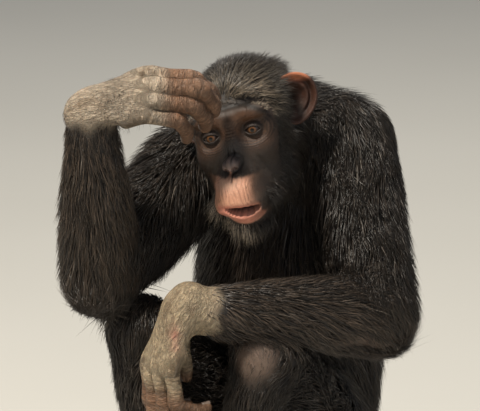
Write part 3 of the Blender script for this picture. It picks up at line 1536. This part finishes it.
@dataclass
class Eyes:
    """The two eyeballs: amber-brown irises, dark pupils and dark outer parts.

    The radius and bulge are in millimetres, the iris and pupil in degrees from the middle.
    """

    OUTER = np.array([0.03, 0.016, 0.011])
    IRIS = np.array([0.066, 0.028, 0.012])
    BRIGHT = np.array([0.098, 0.043, 0.016])
    RIM = np.array([0.012, 0.008, 0.007])
    PUPIL = np.array([0.003, 0.003, 0.003])
    SIDES = 64
    radius: float = 10.5
    iris: float = 27.0
    pupil: float = 10.5
    bulge: float = 0.9
    look: Triple = (0.04, -1.0, -0.03)

    def build(self, side: str) -> Item:
        """One eyeball: a ball whose cornea bulges as a bell curve of the angle.

        Args:
            side: the animal's side.

        Returns:
            The eyeball's object.
        """
        sign = 1 if side == "left" else -1
        steps = np.concatenate([np.linspace(1.5, 46, 40), np.linspace(50, 176, 22)])
        angle = np.radians(steps)[:, None]
        turn = np.linspace(0, 2 * math.pi, self.SIDES, endpoint=False)[None, :]
        reach = self.radius + self.bulge * bell(np.degrees(angle), 26)
        ahead = np.cos(angle) + 0 * turn
        out = np.sin(angle)
        ring = np.stack([out * np.cos(turn), -ahead, out * np.sin(turn)], -1) * reach[..., None]
        ends = [[0, -self.radius - self.bulge, 0], [0, self.radius, 0]]
        points = np.vstack([ring.reshape(-1, 3), ends])
        way = Vector(self.look).normalized()
        turned = np.array(Vector((0, -1, 0)).rotation_difference(way).to_matrix())
        points = points @ turned.T + np.array(HEAD.eye) * [sign, 1, 1]
        faces = grid_faces(len(ring), self.SIDES)
        item = mesh_object(f"eyeball_{side}", moved(points, HEAD_MATRIX), faces)
        degrees = np.append(np.repeat(np.degrees(angle[:, 0]), self.SIDES), [0, 180])
        iris = fall(degrees, self.iris - 2, self.iris + 3)
        tone = PAINT.layers(
            np.repeat(self.OUTER[None], len(points), 0),
            (self.IRIS, iris),
            (self.BRIGHT, iris * bell(degrees - 16, 5)),
            (self.RIM, bell(degrees - self.iris, 3.6)),
            (self.PUPIL, fall(degrees, self.pupil - 1, self.pupil + 1.5)),
        )
        colour_attribute(item, "tone", tone)
        item.data.materials.append(EyeFinish().material())
        return item


@dataclass
class Nails:
    """The nails: a thin crowned plate on the back of each digit's last joint."""

    length: float = 0.0095
    width: float = 0.0072
    thick: float = 0.0007

    def plate(self, places: list[Array], radius: float, across: Array) -> tuple[Array, list[Array]]:
        """One nail on a digit, bent round its back and rounded at its free edge.

        Args:
            places: the digit's joints.
            radius: the digit's radius.
            across: a direction across the digit.

        Returns:
            Points and faces of the closed plate.
        """
        along = unit(places[3] - places[2])
        side = unit(across - along * (across @ along))
        up = np.cross(along, side)
        up = up if up[2] > 0 or abs(up[2]) < 0.2 else -up
        bend = unit(places[1] - places[2])
        up = up if (up @ bend) > -0.6 else -up
        u, v = np.meshgrid(np.linspace(0, 1, 9), np.linspace(-1, 1, 9), indexing="ij")
        end = np.clip(1 - np.clip((u - 0.8) / 0.28, 0, 1) ** 2, 0.02, 1)
        half = self.width / 2 * (0.86 + 0.14 * np.sin(u * math.pi)) * np.sqrt(end)
        lift = radius * (0.8 - 0.1 * u) * np.sqrt(np.clip(1 - (0.72 * v) ** 2, 0, 1))
        start = places[2] + (places[3] - places[2]) * 0.42
        top = start + along * (u * self.length)[..., None] + side * (v * half)[..., None]
        top = top + up * (lift + 0.0005)[..., None]
        low = top - up * self.thick
        points = np.vstack([top.reshape(-1, 3), low.reshape(-1, 3)])
        i, j = np.meshgrid(np.arange(8), np.arange(8), indexing="ij")
        a = (i * 9 + j).ravel()
        upper = np.stack([a, a + 9, a + 10, a + 1], 1)
        runs = ((0, 8, 1), (8, 80, 9), (80, 72, -1), (72, 0, -9))
        edge = np.concatenate([np.arange(*run) for run in runs])
        after = np.roll(edge, -1)
        rim = np.stack([edge, after, after + 81, edge + 81], 1)
        faces = np.vstack([upper, upper[:, ::-1] + 81, rim])
        first = points[upper]
        out = (np.cross(first[:, 1] - first[:, 0], first[:, 3] - first[:, 0]) @ up).sum()
        return points, [faces if out > 0 else faces[:, ::-1]]

    def build(self, owner: Hand | Foot, name: str) -> Item:
        """All the nails of one hand or foot."""
        points, faces = [], []
        matrix = owner.matrix()
        for places, radius, _ in owner.paths():
            across = np.array([0.0, 1.0, 0.0])
            found, quads = self.plate([np.array(p) for p in places], radius, across)
            faces.append(quads[0] + sum(len(p) for p in points))
            points.append(moved(found, matrix))
        item = mesh_object(name, np.vstack(points), [np.vstack(faces)])
        item.data.materials.append(NailFinish().material())
        return item


@dataclass
class Volume:
    """Distances to the whole skin on a grid, read between its points."""

    step: float = 0.005

    def __post_init__(self) -> None:
        """Fills the grid with the nearest of the body, head, hands and feet."""
        self.low = np.array([-0.27, -0.31, -0.03])
        high = np.array([0.19, 0.18, 0.6])
        axes = [np.arange(a, b, self.step) for a, b in zip(self.low, high)]
        grid = np.stack(np.meshgrid(*axes, indexing="ij"), -1)
        flat = grid.reshape(-1, 3)
        values = FLESH.distance(flat)
        for part in (*HANDS.values(), *FEET.values()):
            values = np.minimum(values, part.flesh().distance(flat))
        p = head_space(flat)
        near = (np.abs(p - [0, 30, -20]) < [95, 130, 130]).all(1)
        values[near] = np.minimum(values[near], HEAD.distance(p[near]) * MM)
        self.values = values.reshape(grid.shape[:3])

    def at(self, points: Array) -> Array:
        """The distance at points, mixed from the eight grid points round each."""
        q = (points - self.low) / self.step
        q = np.clip(q, 0, np.array(self.values.shape) - 1.001)
        base = q.astype(int)
        return eight_corners(base, q - base, lambda at: self.values[tuple(at.T)])


@dataclass(frozen=True)
class Hair:
    """How one part of the body is haired: length and width of its tufts, in metres."""

    length: float
    width: float
    density: float = 1.0


@dataclass
class Coat:
    """The coat: curved tapered tufts over the skin, along its lie.

    The tufts are drawn at random in one fixed order, so that each build grows the same coat.
    """

    BASE = np.array([0.0115, 0.0095, 0.008])
    BROWN = np.array([0.06, 0.04, 0.026])
    GREY = np.array([0.17, 0.145, 0.12])
    PALE = np.array([0.33, 0.245, 0.165])
    CHIN = np.array([0.62, 0.51, 0.39])
    FOREARM = np.array([0.085, 0.06, 0.042])
    CHEST = np.array([0.11, 0.072, 0.045])

    skin: Item
    tufts: int = 84000
    face_hairs: int = 7500
    most: int = 12200
    droop: float = 0.3
    dark_root: float = 0.75
    hairs: dict = field(
        default_factory=lambda: {
            "torso": Hair(0.05, 0.0021, 0.85),
            "pelvis": Hair(0.042, 0.0021, 0.75),
            "neck": Hair(0.042, 0.0018, 0.9),
            "upper_arm": Hair(0.05, 0.0016, 1.25),
            "forearm": Hair(0.04, 0.0014, 1.45),
            "thigh": Hair(0.04, 0.0018, 0.95),
            "shin": Hair(0.032, 0.0015, 1.15),
            "head": Hair(0.026, 0.00072, 4.4),
        }
    )

    def __post_init__(self) -> None:
        """Reads the skin's triangles and fills the volume that the tufts stay out of."""
        self.volume = Volume()
        self.chance = np.random.default_rng(SEED)
        self.names = [*FLESH.limbs, "head"]
        self.runs = {
            "upper_arm": (BONES.shoulder, BONES.elbow),
            "forearm": (BONES.wrist, BONES.elbow),
            "thigh": (BONES.hip, BONES.knee),
            "shin": (BONES.knee, BONES.ankle),
        }

    def samples(self, count: int, density: Callable[[Array, Array], Array]) -> tuple[Array, Array]:
        """Places on the skin, drawn by area and density.

        Args:
            count: how many to draw.
            density: gives the wanted density at places with their normals.

        Returns:
            Places and outward normals.
        """
        mesh = self.skin.data
        mesh.calc_loop_triangles()
        corners = np.empty(len(mesh.loop_triangles) * 3, np.int32)
        mesh.loop_triangles.foreach_get("vertices", corners)
        points = read_points(self.skin)[corners.reshape(-1, 3)]
        cross = np.cross(points[:, 1] - points[:, 0], points[:, 2] - points[:, 0])
        area = np.linalg.norm(cross, axis=1)
        weight = area * density(points.mean(1), unit(cross))
        total = np.cumsum(weight)
        pick = np.searchsorted(total, self.chance.uniform(0, total[-1], count))
        pick = np.minimum(pick, len(points) - 1)
        a, b = np.sort(self.chance.uniform(0, 1, (2, count)), 0)
        share = np.stack([a, b - a, 1 - b], 1)
        return (share[..., None] * points[pick]).sum(1), unit(cross)[pick]

    def shares(self, places: Array) -> tuple[Array, Array, Array]:
        """How near places are to each part of the body.

        Returns:
            The gap to each part, the weights exp(-gap/12 mm), and along and around shares.
        """
        gaps, along, around = [], [], []
        for limb in FLESH.limbs.values():
            gap, s, angle, _ = limb.place(places)
            gaps.append(gap)
            along.append(s)
            around.append(angle / (2 * math.pi) + 0.5)
        p = head_space(places)
        gaps.append(HEAD.distance(p) * MM)
        along.append(np.clip((p[:, 2] + 115) / 200, 0, 1))
        around.append(np.arctan2(p[:, 0], 50 - p[:, 1]) / (2 * math.pi) + 0.5)
        gaps = np.stack(gaps, 1)
        weight = np.exp(-(gaps - gaps.min(1, keepdims=True)) / 0.01)
        weight /= weight.sum(1, keepdims=True)
        return gaps, weight, np.stack([np.stack(along, 1), np.stack(around, 1)], -1)

    def depth(self, weight: Array, where: Array, places: Array) -> Array:
        """Depth of the coat beyond the skin: each limb's, and on the head 8 mm by share."""
        found = np.zeros(len(places))
        for column, name in enumerate(self.names):
            if name == "head":
                p = head_space(places)
                swell = ramp(np.abs(p[:, 0]), 12, 44) * ramp(p[:, 1], 16, 48)
                local = 0.007 + 0.009 * swell + 0.007 * spot(p, (38, 50, 48), (26, 46, 24))
                local = local * HEAD.coat_share(p) * (0.45 + 0.55 * ramp(p[:, 1], -4, 26))
            else:
                limb = FLESH.limbs[name]
                ticks = np.linspace(0, 1, limb.samples)
                local = np.interp(where[:, column, 0], ticks, limb.sizes[:, 2]) * (1 - limb.skin)
            found += weight[:, column] * local
        return found

    def lie(self, weight: Array, places: Array, normals: Array) -> Array:
        """The way the hair points, mixed from the ways of the parts that are near.

        Trunk hair falls; limb hair runs to the elbow, knee or ankle; head hair sweeps back
        over the crown and down the cheeks. All of it droops a little.
        """
        ways = []
        x, y, z = head_space(places).T
        for name in self.names:
            side = "left" if name.endswith("left") else "right"
            kind = kind_of(name)
            if kind == "head":
                back = np.clip((y - 70) / 40, 0, 1)
                low = np.clip((-20 - z) / 50, 0, 1)
                front = fall(y, 6, 30) * ramp(z, -5, 12)
                outer = front * ramp(np.abs(x), 16, 46)
                across = 0.15 * np.clip(x / 15, -1, 1) + 0.1 * front
                across = across + np.sign(x) * 0.9 * outer
                down = -0.25 - back - 0.8 * low - 0.5 * outer
                own = np.stack([across, 1.0 - 0.7 * back - 0.5 * outer, down], 1)
                way = own @ HEAD_MATRIX[:3, :3].T / MM
            elif kind == "neck":
                run = np.array(FLESH.neck[0][0]) - np.array(FLESH.neck[-1][0])
                way = np.tile(run + [0, 0, -0.02], (len(places), 1))
            elif kind in ("torso", "pelvis"):
                way = normals * [0.25, 0.1, 0] - [0, 0, 1]
            else:
                first, last = self.runs[kind]
                run = np.array(last[side]) - np.array(first[side])
                way = np.tile(run, (len(places), 1))
            ways.append(unit(way))
        way = (weight[..., None] * np.stack(ways, 1)).sum(1)
        way = unit(way) + [0, 0, -self.droop]
        way = way - normals * (way * normals).sum(1, keepdims=True)
        return unit(way)

    def bare(self, places: Array) -> Array:
        """How bare the skin is: 1 on the face, hands, feet and rubbed patches."""
        p = head_space(places)
        on_head = fall(HEAD.distance(p), 2, 8)
        found = on_head * (1 - HEAD.coat_share(p))
        for side in SIDES:
            found = np.maximum(found, FLESH.hairless(side, places))
            q = own_space(FEET[side], places)
            away = np.linalg.norm(q - [0.03, 0, -0.03], axis=1)
            foot = fall(q[:, 2], -0.02, 0.002) * fall(away, 0.1, 0.12)
            found = np.maximum(found, foot)
        for centre, radii in BARE_PATCHES:
            found = np.maximum(found, np.clip(1.25 * spot(places, centre, radii), 0, 0.74))
        return found * (1 - 0.55 * spot(places, HAND_HAIR, (0.021, 0.04, 0.024)))

    def density(self, places: Array, normals: Array) -> Array:
        """The wanted density of tufts: each part's own, less in narrow gaps and bare spots."""
        _, weight, _ = self.shares(places)
        own = np.array([self.hairs[kind_of(name)].density for name in self.names])
        found = weight @ own * (1 - self.bare(places)) * (1 - on_ears(places))
        room = self.volume.at(places + normals * 0.01)
        return found * (0.15 + 0.85 * ramp(room, 0.001, 0.008)) * (places[:, 2] > 0.006)

    def spines(
        self, root: Array, normal: Array, way: Array, length: Array, lift: Array, rings: int
    ) -> tuple[Array, Array]:
        """Places along tufts, each of which rises from the skin to its lift at the tip.

        Each step goes along the way, turned down by the droop and back along the skin, and
        is then moved to its own height above the skin.

        Args:
            root: the roots.
            normal: outward normals there.
            way: directions of the hair.
            length: lengths of the tufts.
            lift: heights of the tips.
            rings: how many places after the root.

        Returns:
            Places and upward directions, by tuft and ring.
        """
        sink = 0.0016
        places, ups = [root - normal * sink], [normal]
        at, up = root, normal
        for step in range(1, rings + 1):
            ahead = at + way * (length / rings)[:, None]
            gap, slope = slope_of(self.volume.at, ahead, 0.003)
            up = unit(up + slope)
            share = step / rings
            ahead = ahead + slope * (lift * share**1.25 - gap)[:, None]
            ahead[:, 2] = np.maximum(ahead[:, 2], 0.0015)
            way = unit(ahead - at) + [0, 0, -0.1]
            way = unit(way - 0.7 * up * (way * up).sum(1, keepdims=True))
            at = ahead
            places.append(at)
            ups.append(up)
        return np.stack(places, 1), np.stack(ups, 1)

    def tuft_mesh(
        self, name: str, spine: Array, ups: Array, width: Array, tone: Array, patch: Array
    ) -> Item:
        """Joins tufts into one mesh: rings of three points with a ridge, then the tip.

        Args:
            name: the piece's name.
            spine: places by tuft and ring, the last the tip.
            ups: upward directions, likewise.
            width: the tufts' widths.
            tone: the tufts' colours.
            patch: each tuft's place on the unwrap.

        Returns:
            The coat piece.
        """
        count, rings = spine.shape[0], spine.shape[1] - 1
        ahead = unit(spine[:, 1:] - spine[:, :-1])
        side = unit(np.cross(ahead, ups[:, :-1]))
        taper = np.interp(np.arange(rings) / rings, [0, 0.3, 1], [0.75, 1.0, 0.25])
        half = (width[:, None] / 2 * taper)[..., None]
        body = spine[:, :-1]
        ridge = body + ups[:, :-1] * half * 0.8
        ring = np.stack([body + side * half, body - side * half, ridge], 2)
        points = np.concatenate([ring.reshape(count, -1, 3), spine[:, -1:]], 1)
        each = points.shape[1]
        offset = (np.arange(count) * each)[:, None, None]
        last = rings * 3 - 3
        walls = ((0, 1), (1, 2), (2, 0))
        rows = range(0, last, 3)
        quads = np.array([(r + k, r + 3 + k, r + 3 + n, r + n) for r in rows for k, n in walls])
        tris = np.array([(0, 1, 2), *[(last + k, last + 3, last + n) for k, n in walls]])
        faces = [(quads + offset).reshape(-1, 4), (tris + offset).reshape(-1, 3)]
        a, b, c = points[:, 0], points[:, 1], points[:, 2]
        turn = (np.cross(b - a, c - a) * ahead[:, 0]).sum(1).mean()
        if turn > 0:
            faces = [f[:, ::-1] for f in faces]
        along = np.append(np.repeat(np.arange(rings) / rings, 3), 1.0)
        across = np.append(np.tile([-0.5, 0.5, 0.0], rings), 0.0)
        uv = patch[:, None] + 0.003 * np.stack([across, along], -1)[None]
        item = mesh_object(name, points.reshape(-1, 3), faces, uv.reshape(-1, 2))
        fade = self.dark_root + 0.55 * along
        colour_attribute(item, "tone", (tone[:, None] * fade[None, :, None]).reshape(-1, 3))
        return item

    def tones(self, places: Array, weight: Array, share: float = 0.1) -> Array:
        """The tufts' colours: black-brown, with browner and greyer ones, by part and chance.

        Args:
            places: the roots.
            weight: how much each root belongs to each part.
            share: the share of pale hairs on the chin.

        Returns:
            A colour for each tuft.
        """
        count = len(places)
        tone = np.repeat(self.BASE[None], count, 0)
        patchy = 0.5 + 0.5 * NOISE(places, 0.03)
        brown = 0.4 * self.chance.uniform(0, 1, count) ** 2 * (0.5 + patchy)
        grey = 0.7 * (self.chance.uniform(0, 1, count) > 0.975)
        x, y, z = head_space(places).T
        head = weight[:, -1]
        above = z - HEAD.hairline(x)
        forward = head * fall(y, 24, 64) * ramp(z, 0, 16)
        fringe = head * fall(above, 5, 20) * fall(y, 14, 36) * ramp(z, 6, 16)
        fringe = fringe * (0.35 + 0.65 * ramp(x, 2, 20))
        chance = self.chance.uniform(0, 1, count)
        chin = head * ramp(-z + 0.9 * np.clip(-x - 12, 0, 30), 68, 84)
        chin = chin * fall(y, 2, 22) * fall(x, -8, 10)
        fore = weight[:, [n.startswith("forearm") for n in self.names]].sum(1)
        chest = spot(places, (-0.015, -0.075, 0.315), (0.05, 0.05, 0.05))
        tone = PAINT.layers(
            tone,
            (self.BROWN, brown),
            (self.GREY, grey),
            (self.PALE * [0.36, 0.4, 0.44], 0.75 * forward * fall(above, 14, 34) * (chance < 0.6)),
            (self.PALE * [0.85, 0.9, 0.95], 0.9 * fringe * (chance < 0.66)),
            (self.CHIN, chin * np.where(chance < share, 0.9, 0.0)),
            (self.FOREARM, 0.75 * fore * (chance < 0.5)),
            (self.CHEST, 0.45 * chest),
        )
        return tone * self.chance.uniform(0.7, 1.35, (count, 1))

    def fringe(self, places: Array) -> Array:
        """1 in the band of hair that stands over the brow, 0 elsewhere."""
        p = head_space(places)
        x, y, z = p.T
        above = z - HEAD.hairline(x)
        near = fall(HEAD.distance(p), 3, 8)
        return near * ramp(above, -3, 1) * fall(above, 5, 14) * fall(y, 8, 24) * ramp(z, 8, 14)

    def patches(self, which: Array, where: Array) -> Array:
        """Each tuft's place on the unwrap: its part's cell, then along and around the part."""
        row, column = which // 4, which % 4
        own = where[np.arange(len(which)), which]
        cell = np.stack([column, row], 1) * 0.25
        return cell + 0.012 + own * 0.226

    def grow(self) -> list[Item]:
        """Grows the long coat, one or more pieces for each part of the body.

        Returns:
            The coat's pieces.
        """
        count = self.tufts // 1
        root, normal = self.samples(count, self.density)
        gaps, weight, where = self.shares(root)
        _, normal = slope_of(self.volume.at, root, 0.003)
        hairs = [self.hairs[kind_of(name)] for name in self.names]
        length, width = (weight @ np.array([(hair.length, hair.width) for hair in hairs])).T
        depth = self.depth(weight, where, root)
        bare = self.bare(root)
        length = length * (0.3 + 0.7 * ramp(depth, 0.001, 0.008)) * (1 - 0.5 * bare)
        length *= self.chance.uniform(0.75, 1.25, count)
        arms = weight[:, [n.startswith(("upper_arm", "forearm")) for n in self.names]].sum(1)
        hanging = arms * np.clip(-normal[:, 2], 0, 1)
        length *= 1 + (0.55 - 0.25 * (root[:, 0] > 0.08)) * hanging
        guard = self.chance.uniform(0, 1, count) < 0.12
        length *= np.where(guard, 1.25, 1.0)
        p = head_space(root)
        beard = weight[:, -1] * ramp(-p[:, 2], 70, 88) * fall(p[:, 1], 10, 40)
        length *= 1 - 0.62 * beard
        lift = depth * self.chance.uniform(0.4, 1.0, count) + 0.0012
        lift += np.where(guard, 0.003, 0.0) * ramp(depth, 0.001, 0.006) + 0.006 * hanging
        lift += self.fringe(root) * self.chance.uniform(0.003, 0.01, count)
        hump = spot(root, (0.112, 0.0, 0.45), (0.075, 0.12, 0.075))
        length, lift = length * (1 - 0.4 * hump), lift * (1 - 0.7 * hump)
        worn = (*BARE_PATCHES, (HAND_HAIR, (0.04, 0.06, 0.045)))
        thin = ramp(np.maximum.reduce([spot(root, *at) for at in worn]), 0, 0.3)
        width, length = width * (1 - 0.6 * thin), length * (1 - 0.3 * thin)
        width = width * (1 - 0.45 * ramp(bare, 0.02, 0.4))
        width = width * self.chance.uniform(0.7, 1.3, count) * np.where(guard, 0.6, 1.0)
        width = width * 1
        way = self.lie(weight, root, normal)
        side = np.cross(normal, way)
        lean = 0.55 * NOISE(root, 0.016) + 0.35 * NOISE(root + 1.0, 0.006)
        lean += 0.12 * self.chance.normal(size=count)
        lean *= 1 - 0.55 * weight[:, -1]
        lean += 0.22 * weight[:, -1] * self.chance.normal(size=count)
        way = unit(way + side * lean[:, None] + normal * (0.25 + 0.5 * self.fringe(root))[:, None])
        tips = root + way * length[:, None]
        across = np.maximum(on_ears(tips), on_ears((root + tips) / 2))
        length = length * (1 - 0.68 * across)
        spine, ups = self.spines(root, normal, way, length, lift, 3)
        tone = self.tones(root, weight)
        which = weight.argmax(1)
        patch = self.patches(which, where)
        pieces = []
        for number, name in enumerate(self.names):
            chosen = np.nonzero(which == number)[0]
            parts = max(1, -(-len(chosen) // self.most))
            order = chosen[np.argsort(root[chosen, 0], kind="stable")]
            for k, some in enumerate(np.array_split(order, parts)):
                if len(some) == 0:
                    continue
                label = f"coat_{name}" + (f"_{k + 1}" if parts > 1 else "")
                rows = (each[some] for each in (spine, ups, width, tone, patch))
                pieces.append(self.tuft_mesh(label, *rows))
        return pieces

    def fuzz_density(self, places: Array, _: Array) -> Array:
        """Where short hair grows on the face: brow, cheeks, jaw and chin."""
        p = head_space(places)
        q = mirrored(p)
        on_head = fall(HEAD.distance(p), 0.5, 2)
        p = HEAD.bent(p)
        x, y, z = p.T
        brow = 1.4 * ramp(z - HEAD.hairline(x), -3, 2) * fall(y, 8, 24)
        _, lower = HEAD.mouth_line(x)
        sides = ramp(np.abs(x), 23, 29) * ramp(-z, 48, 62)
        jaw = np.maximum(ramp(lower - z, 8, 14), sides)
        clumps = 0.5 + 0.5 * NOISE(p, 5.0)
        chin = 0.5 * jaw * fall(y, 4, 26) * clumps
        cheek = 0.4 * ramp(q[:, 0] + q[:, 1] * 0.8, 44, 62) * fall(y, 30, 44)
        lip = 0.12 * bell(z + 38, 3) * fall(np.abs(x), 18, 26) * ramp(-y, 0, 10)
        return on_head * np.clip(brow + (chin + lip) + cheek, 0, 1.6)

    def fuzz(self) -> Item:
        """Grows the short hair of the face, as one piece."""
        count = self.face_hairs // 1
        root, _ = self.samples(count, self.fuzz_density)
        _, normal = slope_of(lambda at: HEAD.distance(head_space(at)) * MM, root, 0.0005)
        x, y, z = head_space(root).T
        jaw = np.maximum(ramp(-z, 84, 92), ramp(np.abs(x), 20, 28) * ramp(-z, 48, 62))
        chin = jaw * fall(y, 4, 26)
        brow = ramp(z, 12, 24)
        across = 0.35 * np.sign(x) * (1 - chin) + 0.02 * x * chin
        own = np.stack([across, 0.9 * (1 - chin) - 0.1 * chin, 0.9 * brow - 0.7 - 0.3 * chin], 1)
        way = own @ HEAD_MATRIX[:3, :3].T / MM
        way = unit(way - 0.75 * normal * (way * normal).sum(1, keepdims=True))
        way = way + normal * (0.3 + 0.35 * chin)[:, None]
        way = unit(way + 0.2 * self.chance.normal(size=(count, 3)))
        length = 0.005 + 0.01 * chin + 0.005 * ramp(y, 0, 24)
        length = length * self.chance.uniform(0.5, 1.5, count)
        shares = np.array([0, 0.55, 1.0])
        run = (length[:, None] * shares)[..., None]
        spine = (root - normal * 0.0008)[:, None] + way[:, None] * run
        spine[:, 2, 2] -= 0.12 * length
        ups = np.repeat(normal[:, None], 3, 1)
        _, weight, where = self.shares(root)
        tone = self.tones(root, weight, 0.6)
        head = np.full(count, len(self.names) - 1)
        width = np.full(count, 0.00045) * 1
        return self.tuft_mesh("coat_face", spine, ups, width, tone, self.patches(head, where))


def kind_of(name: str) -> str:
    """A part's name without its side."""
    return name.replace("_left", "").replace("_right", "")


@dataclass
class Studio:
    """A pale floor, a key lamp from the upper left, fills, and the camera."""

    target: Triple = (-0.04, -0.05, 0.36)
    raised: float = 13.0
    far: float = 5.0
    scale: float = 1.05e-3
    width: int = 480

    def floor(self) -> Item:
        """The floor: a level square sheet, (x, y, 0) over an even grid."""
        span = np.linspace(-12, 12, 9)
        x, y = np.meshgrid(span, span)
        points = np.stack([x, y, 0 * x], -1).reshape(-1, 3)
        i, j = np.meshgrid(np.arange(8), np.arange(8), indexing="ij")
        a = (i * 9 + j).ravel()
        item = mesh_object("floor", points, [np.stack([a, a + 1, a + 10, a + 9], 1)])
        made, lay, shader = new_material("floor")
        colour = lay.mix(lay.noise(1.5), (0.56, 0.545, 0.5, 1), (0.62, 0.605, 0.56, 1))
        lay.feed(shader, {"Base Color": colour, "Roughness": 0.9})
        item.data.materials.append(made)
        return item

    def lamp(self, name: str, place: Triple, size: float, power: float, colour: Triple) -> None:
        """An area lamp that faces the animal."""
        light = bpy.data.lights.new(name, "AREA")
        light.size, light.energy, light.color = size, power, colour
        item = bpy.data.objects.new(name, light)
        bpy.context.scene.collection.objects.link(item)
        item.location = place
        ahead = Vector(self.target) - Vector(place)
        item.rotation_euler = ahead.to_track_quat("-Z", "Y").to_euler()

    def build(self) -> None:
        """Places the floor, lamps, sky and camera."""
        self.floor()
        self.lamp("key", (-1.15, -1.25, 3.0), 0.42, 150, (1.0, 0.93, 0.82))
        self.lamp("fill", (1.6, -2.8, 1.2), 2.0, 10, (0.85, 0.92, 1.0))
        self.lamp("back", (0.8, 2.0, 2.4), 1.0, 22, (1.0, 0.95, 0.85))
        world = bpy.data.worlds.new("sky")
        bpy.context.scene.world = world
        world.use_nodes = True
        world.node_tree.nodes["Background"].inputs[0].default_value = (0.8, 0.86, 0.95, 1)
        world.node_tree.nodes["Background"].inputs[1].default_value = 0.24
        camera = bpy.data.cameras.new("camera")
        camera.sensor_width = 36.0
        camera.lens = 36.0 * self.far / (self.width * self.scale)
        item = bpy.data.objects.new("camera", camera)
        bpy.context.scene.collection.objects.link(item)
        angle = math.radians(self.raised)
        ahead = Vector((0, math.cos(angle), -math.sin(angle)))
        item.location = Vector(self.target) - ahead * self.far
        item.rotation_euler = ahead.to_track_quat("-Z", "Y").to_euler()
        bpy.context.scene.camera = item
        bpy.context.scene.view_settings.view_transform = "Standard"


def place_piece(item: Item, slot: str, *nodes: str) -> None:
    """Hands a finished piece to the frame, and reports it."""
    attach(item, "root")
    if nodes:
        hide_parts(*nodes)
    LOG.info("%s: %d triangles", item.name, triangle_count(item))


def main() -> None:
    """Builds the skin, eyes, nails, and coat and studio."""
    logging.basicConfig(level=logging.INFO, format="%(name)s %(relativeCreated)d ms: %(message)s")
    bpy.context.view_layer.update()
    maker = Skin()
    skin = maker.build()
    maker.dress(skin, SkinFinish())
    covered = [name for name in frame["nodes"] if not name.startswith("eye_")]
    place_piece(skin, "face_skin", *covered)
    eyes = Eyes()
    for side in SIDES:
        place_piece(eyes.build(side), "eye", f"eye_{side}")
        place_piece(Nails().build(HANDS[side], f"nails_hand_{side}"), "hand_skin")
        place_piece(Nails(0.0075, 0.0065).build(FEET[side], f"nails_foot_{side}"), "hand_skin")
    coat = Coat(skin)
    finish = CoatFinish().material()
    for piece in [*coat.grow(), coat.fuzz()]:
        piece.data.materials.append(finish)
        place_piece(piece, "coat")
    Studio().build()


if __name__ == "__main__":
    main()
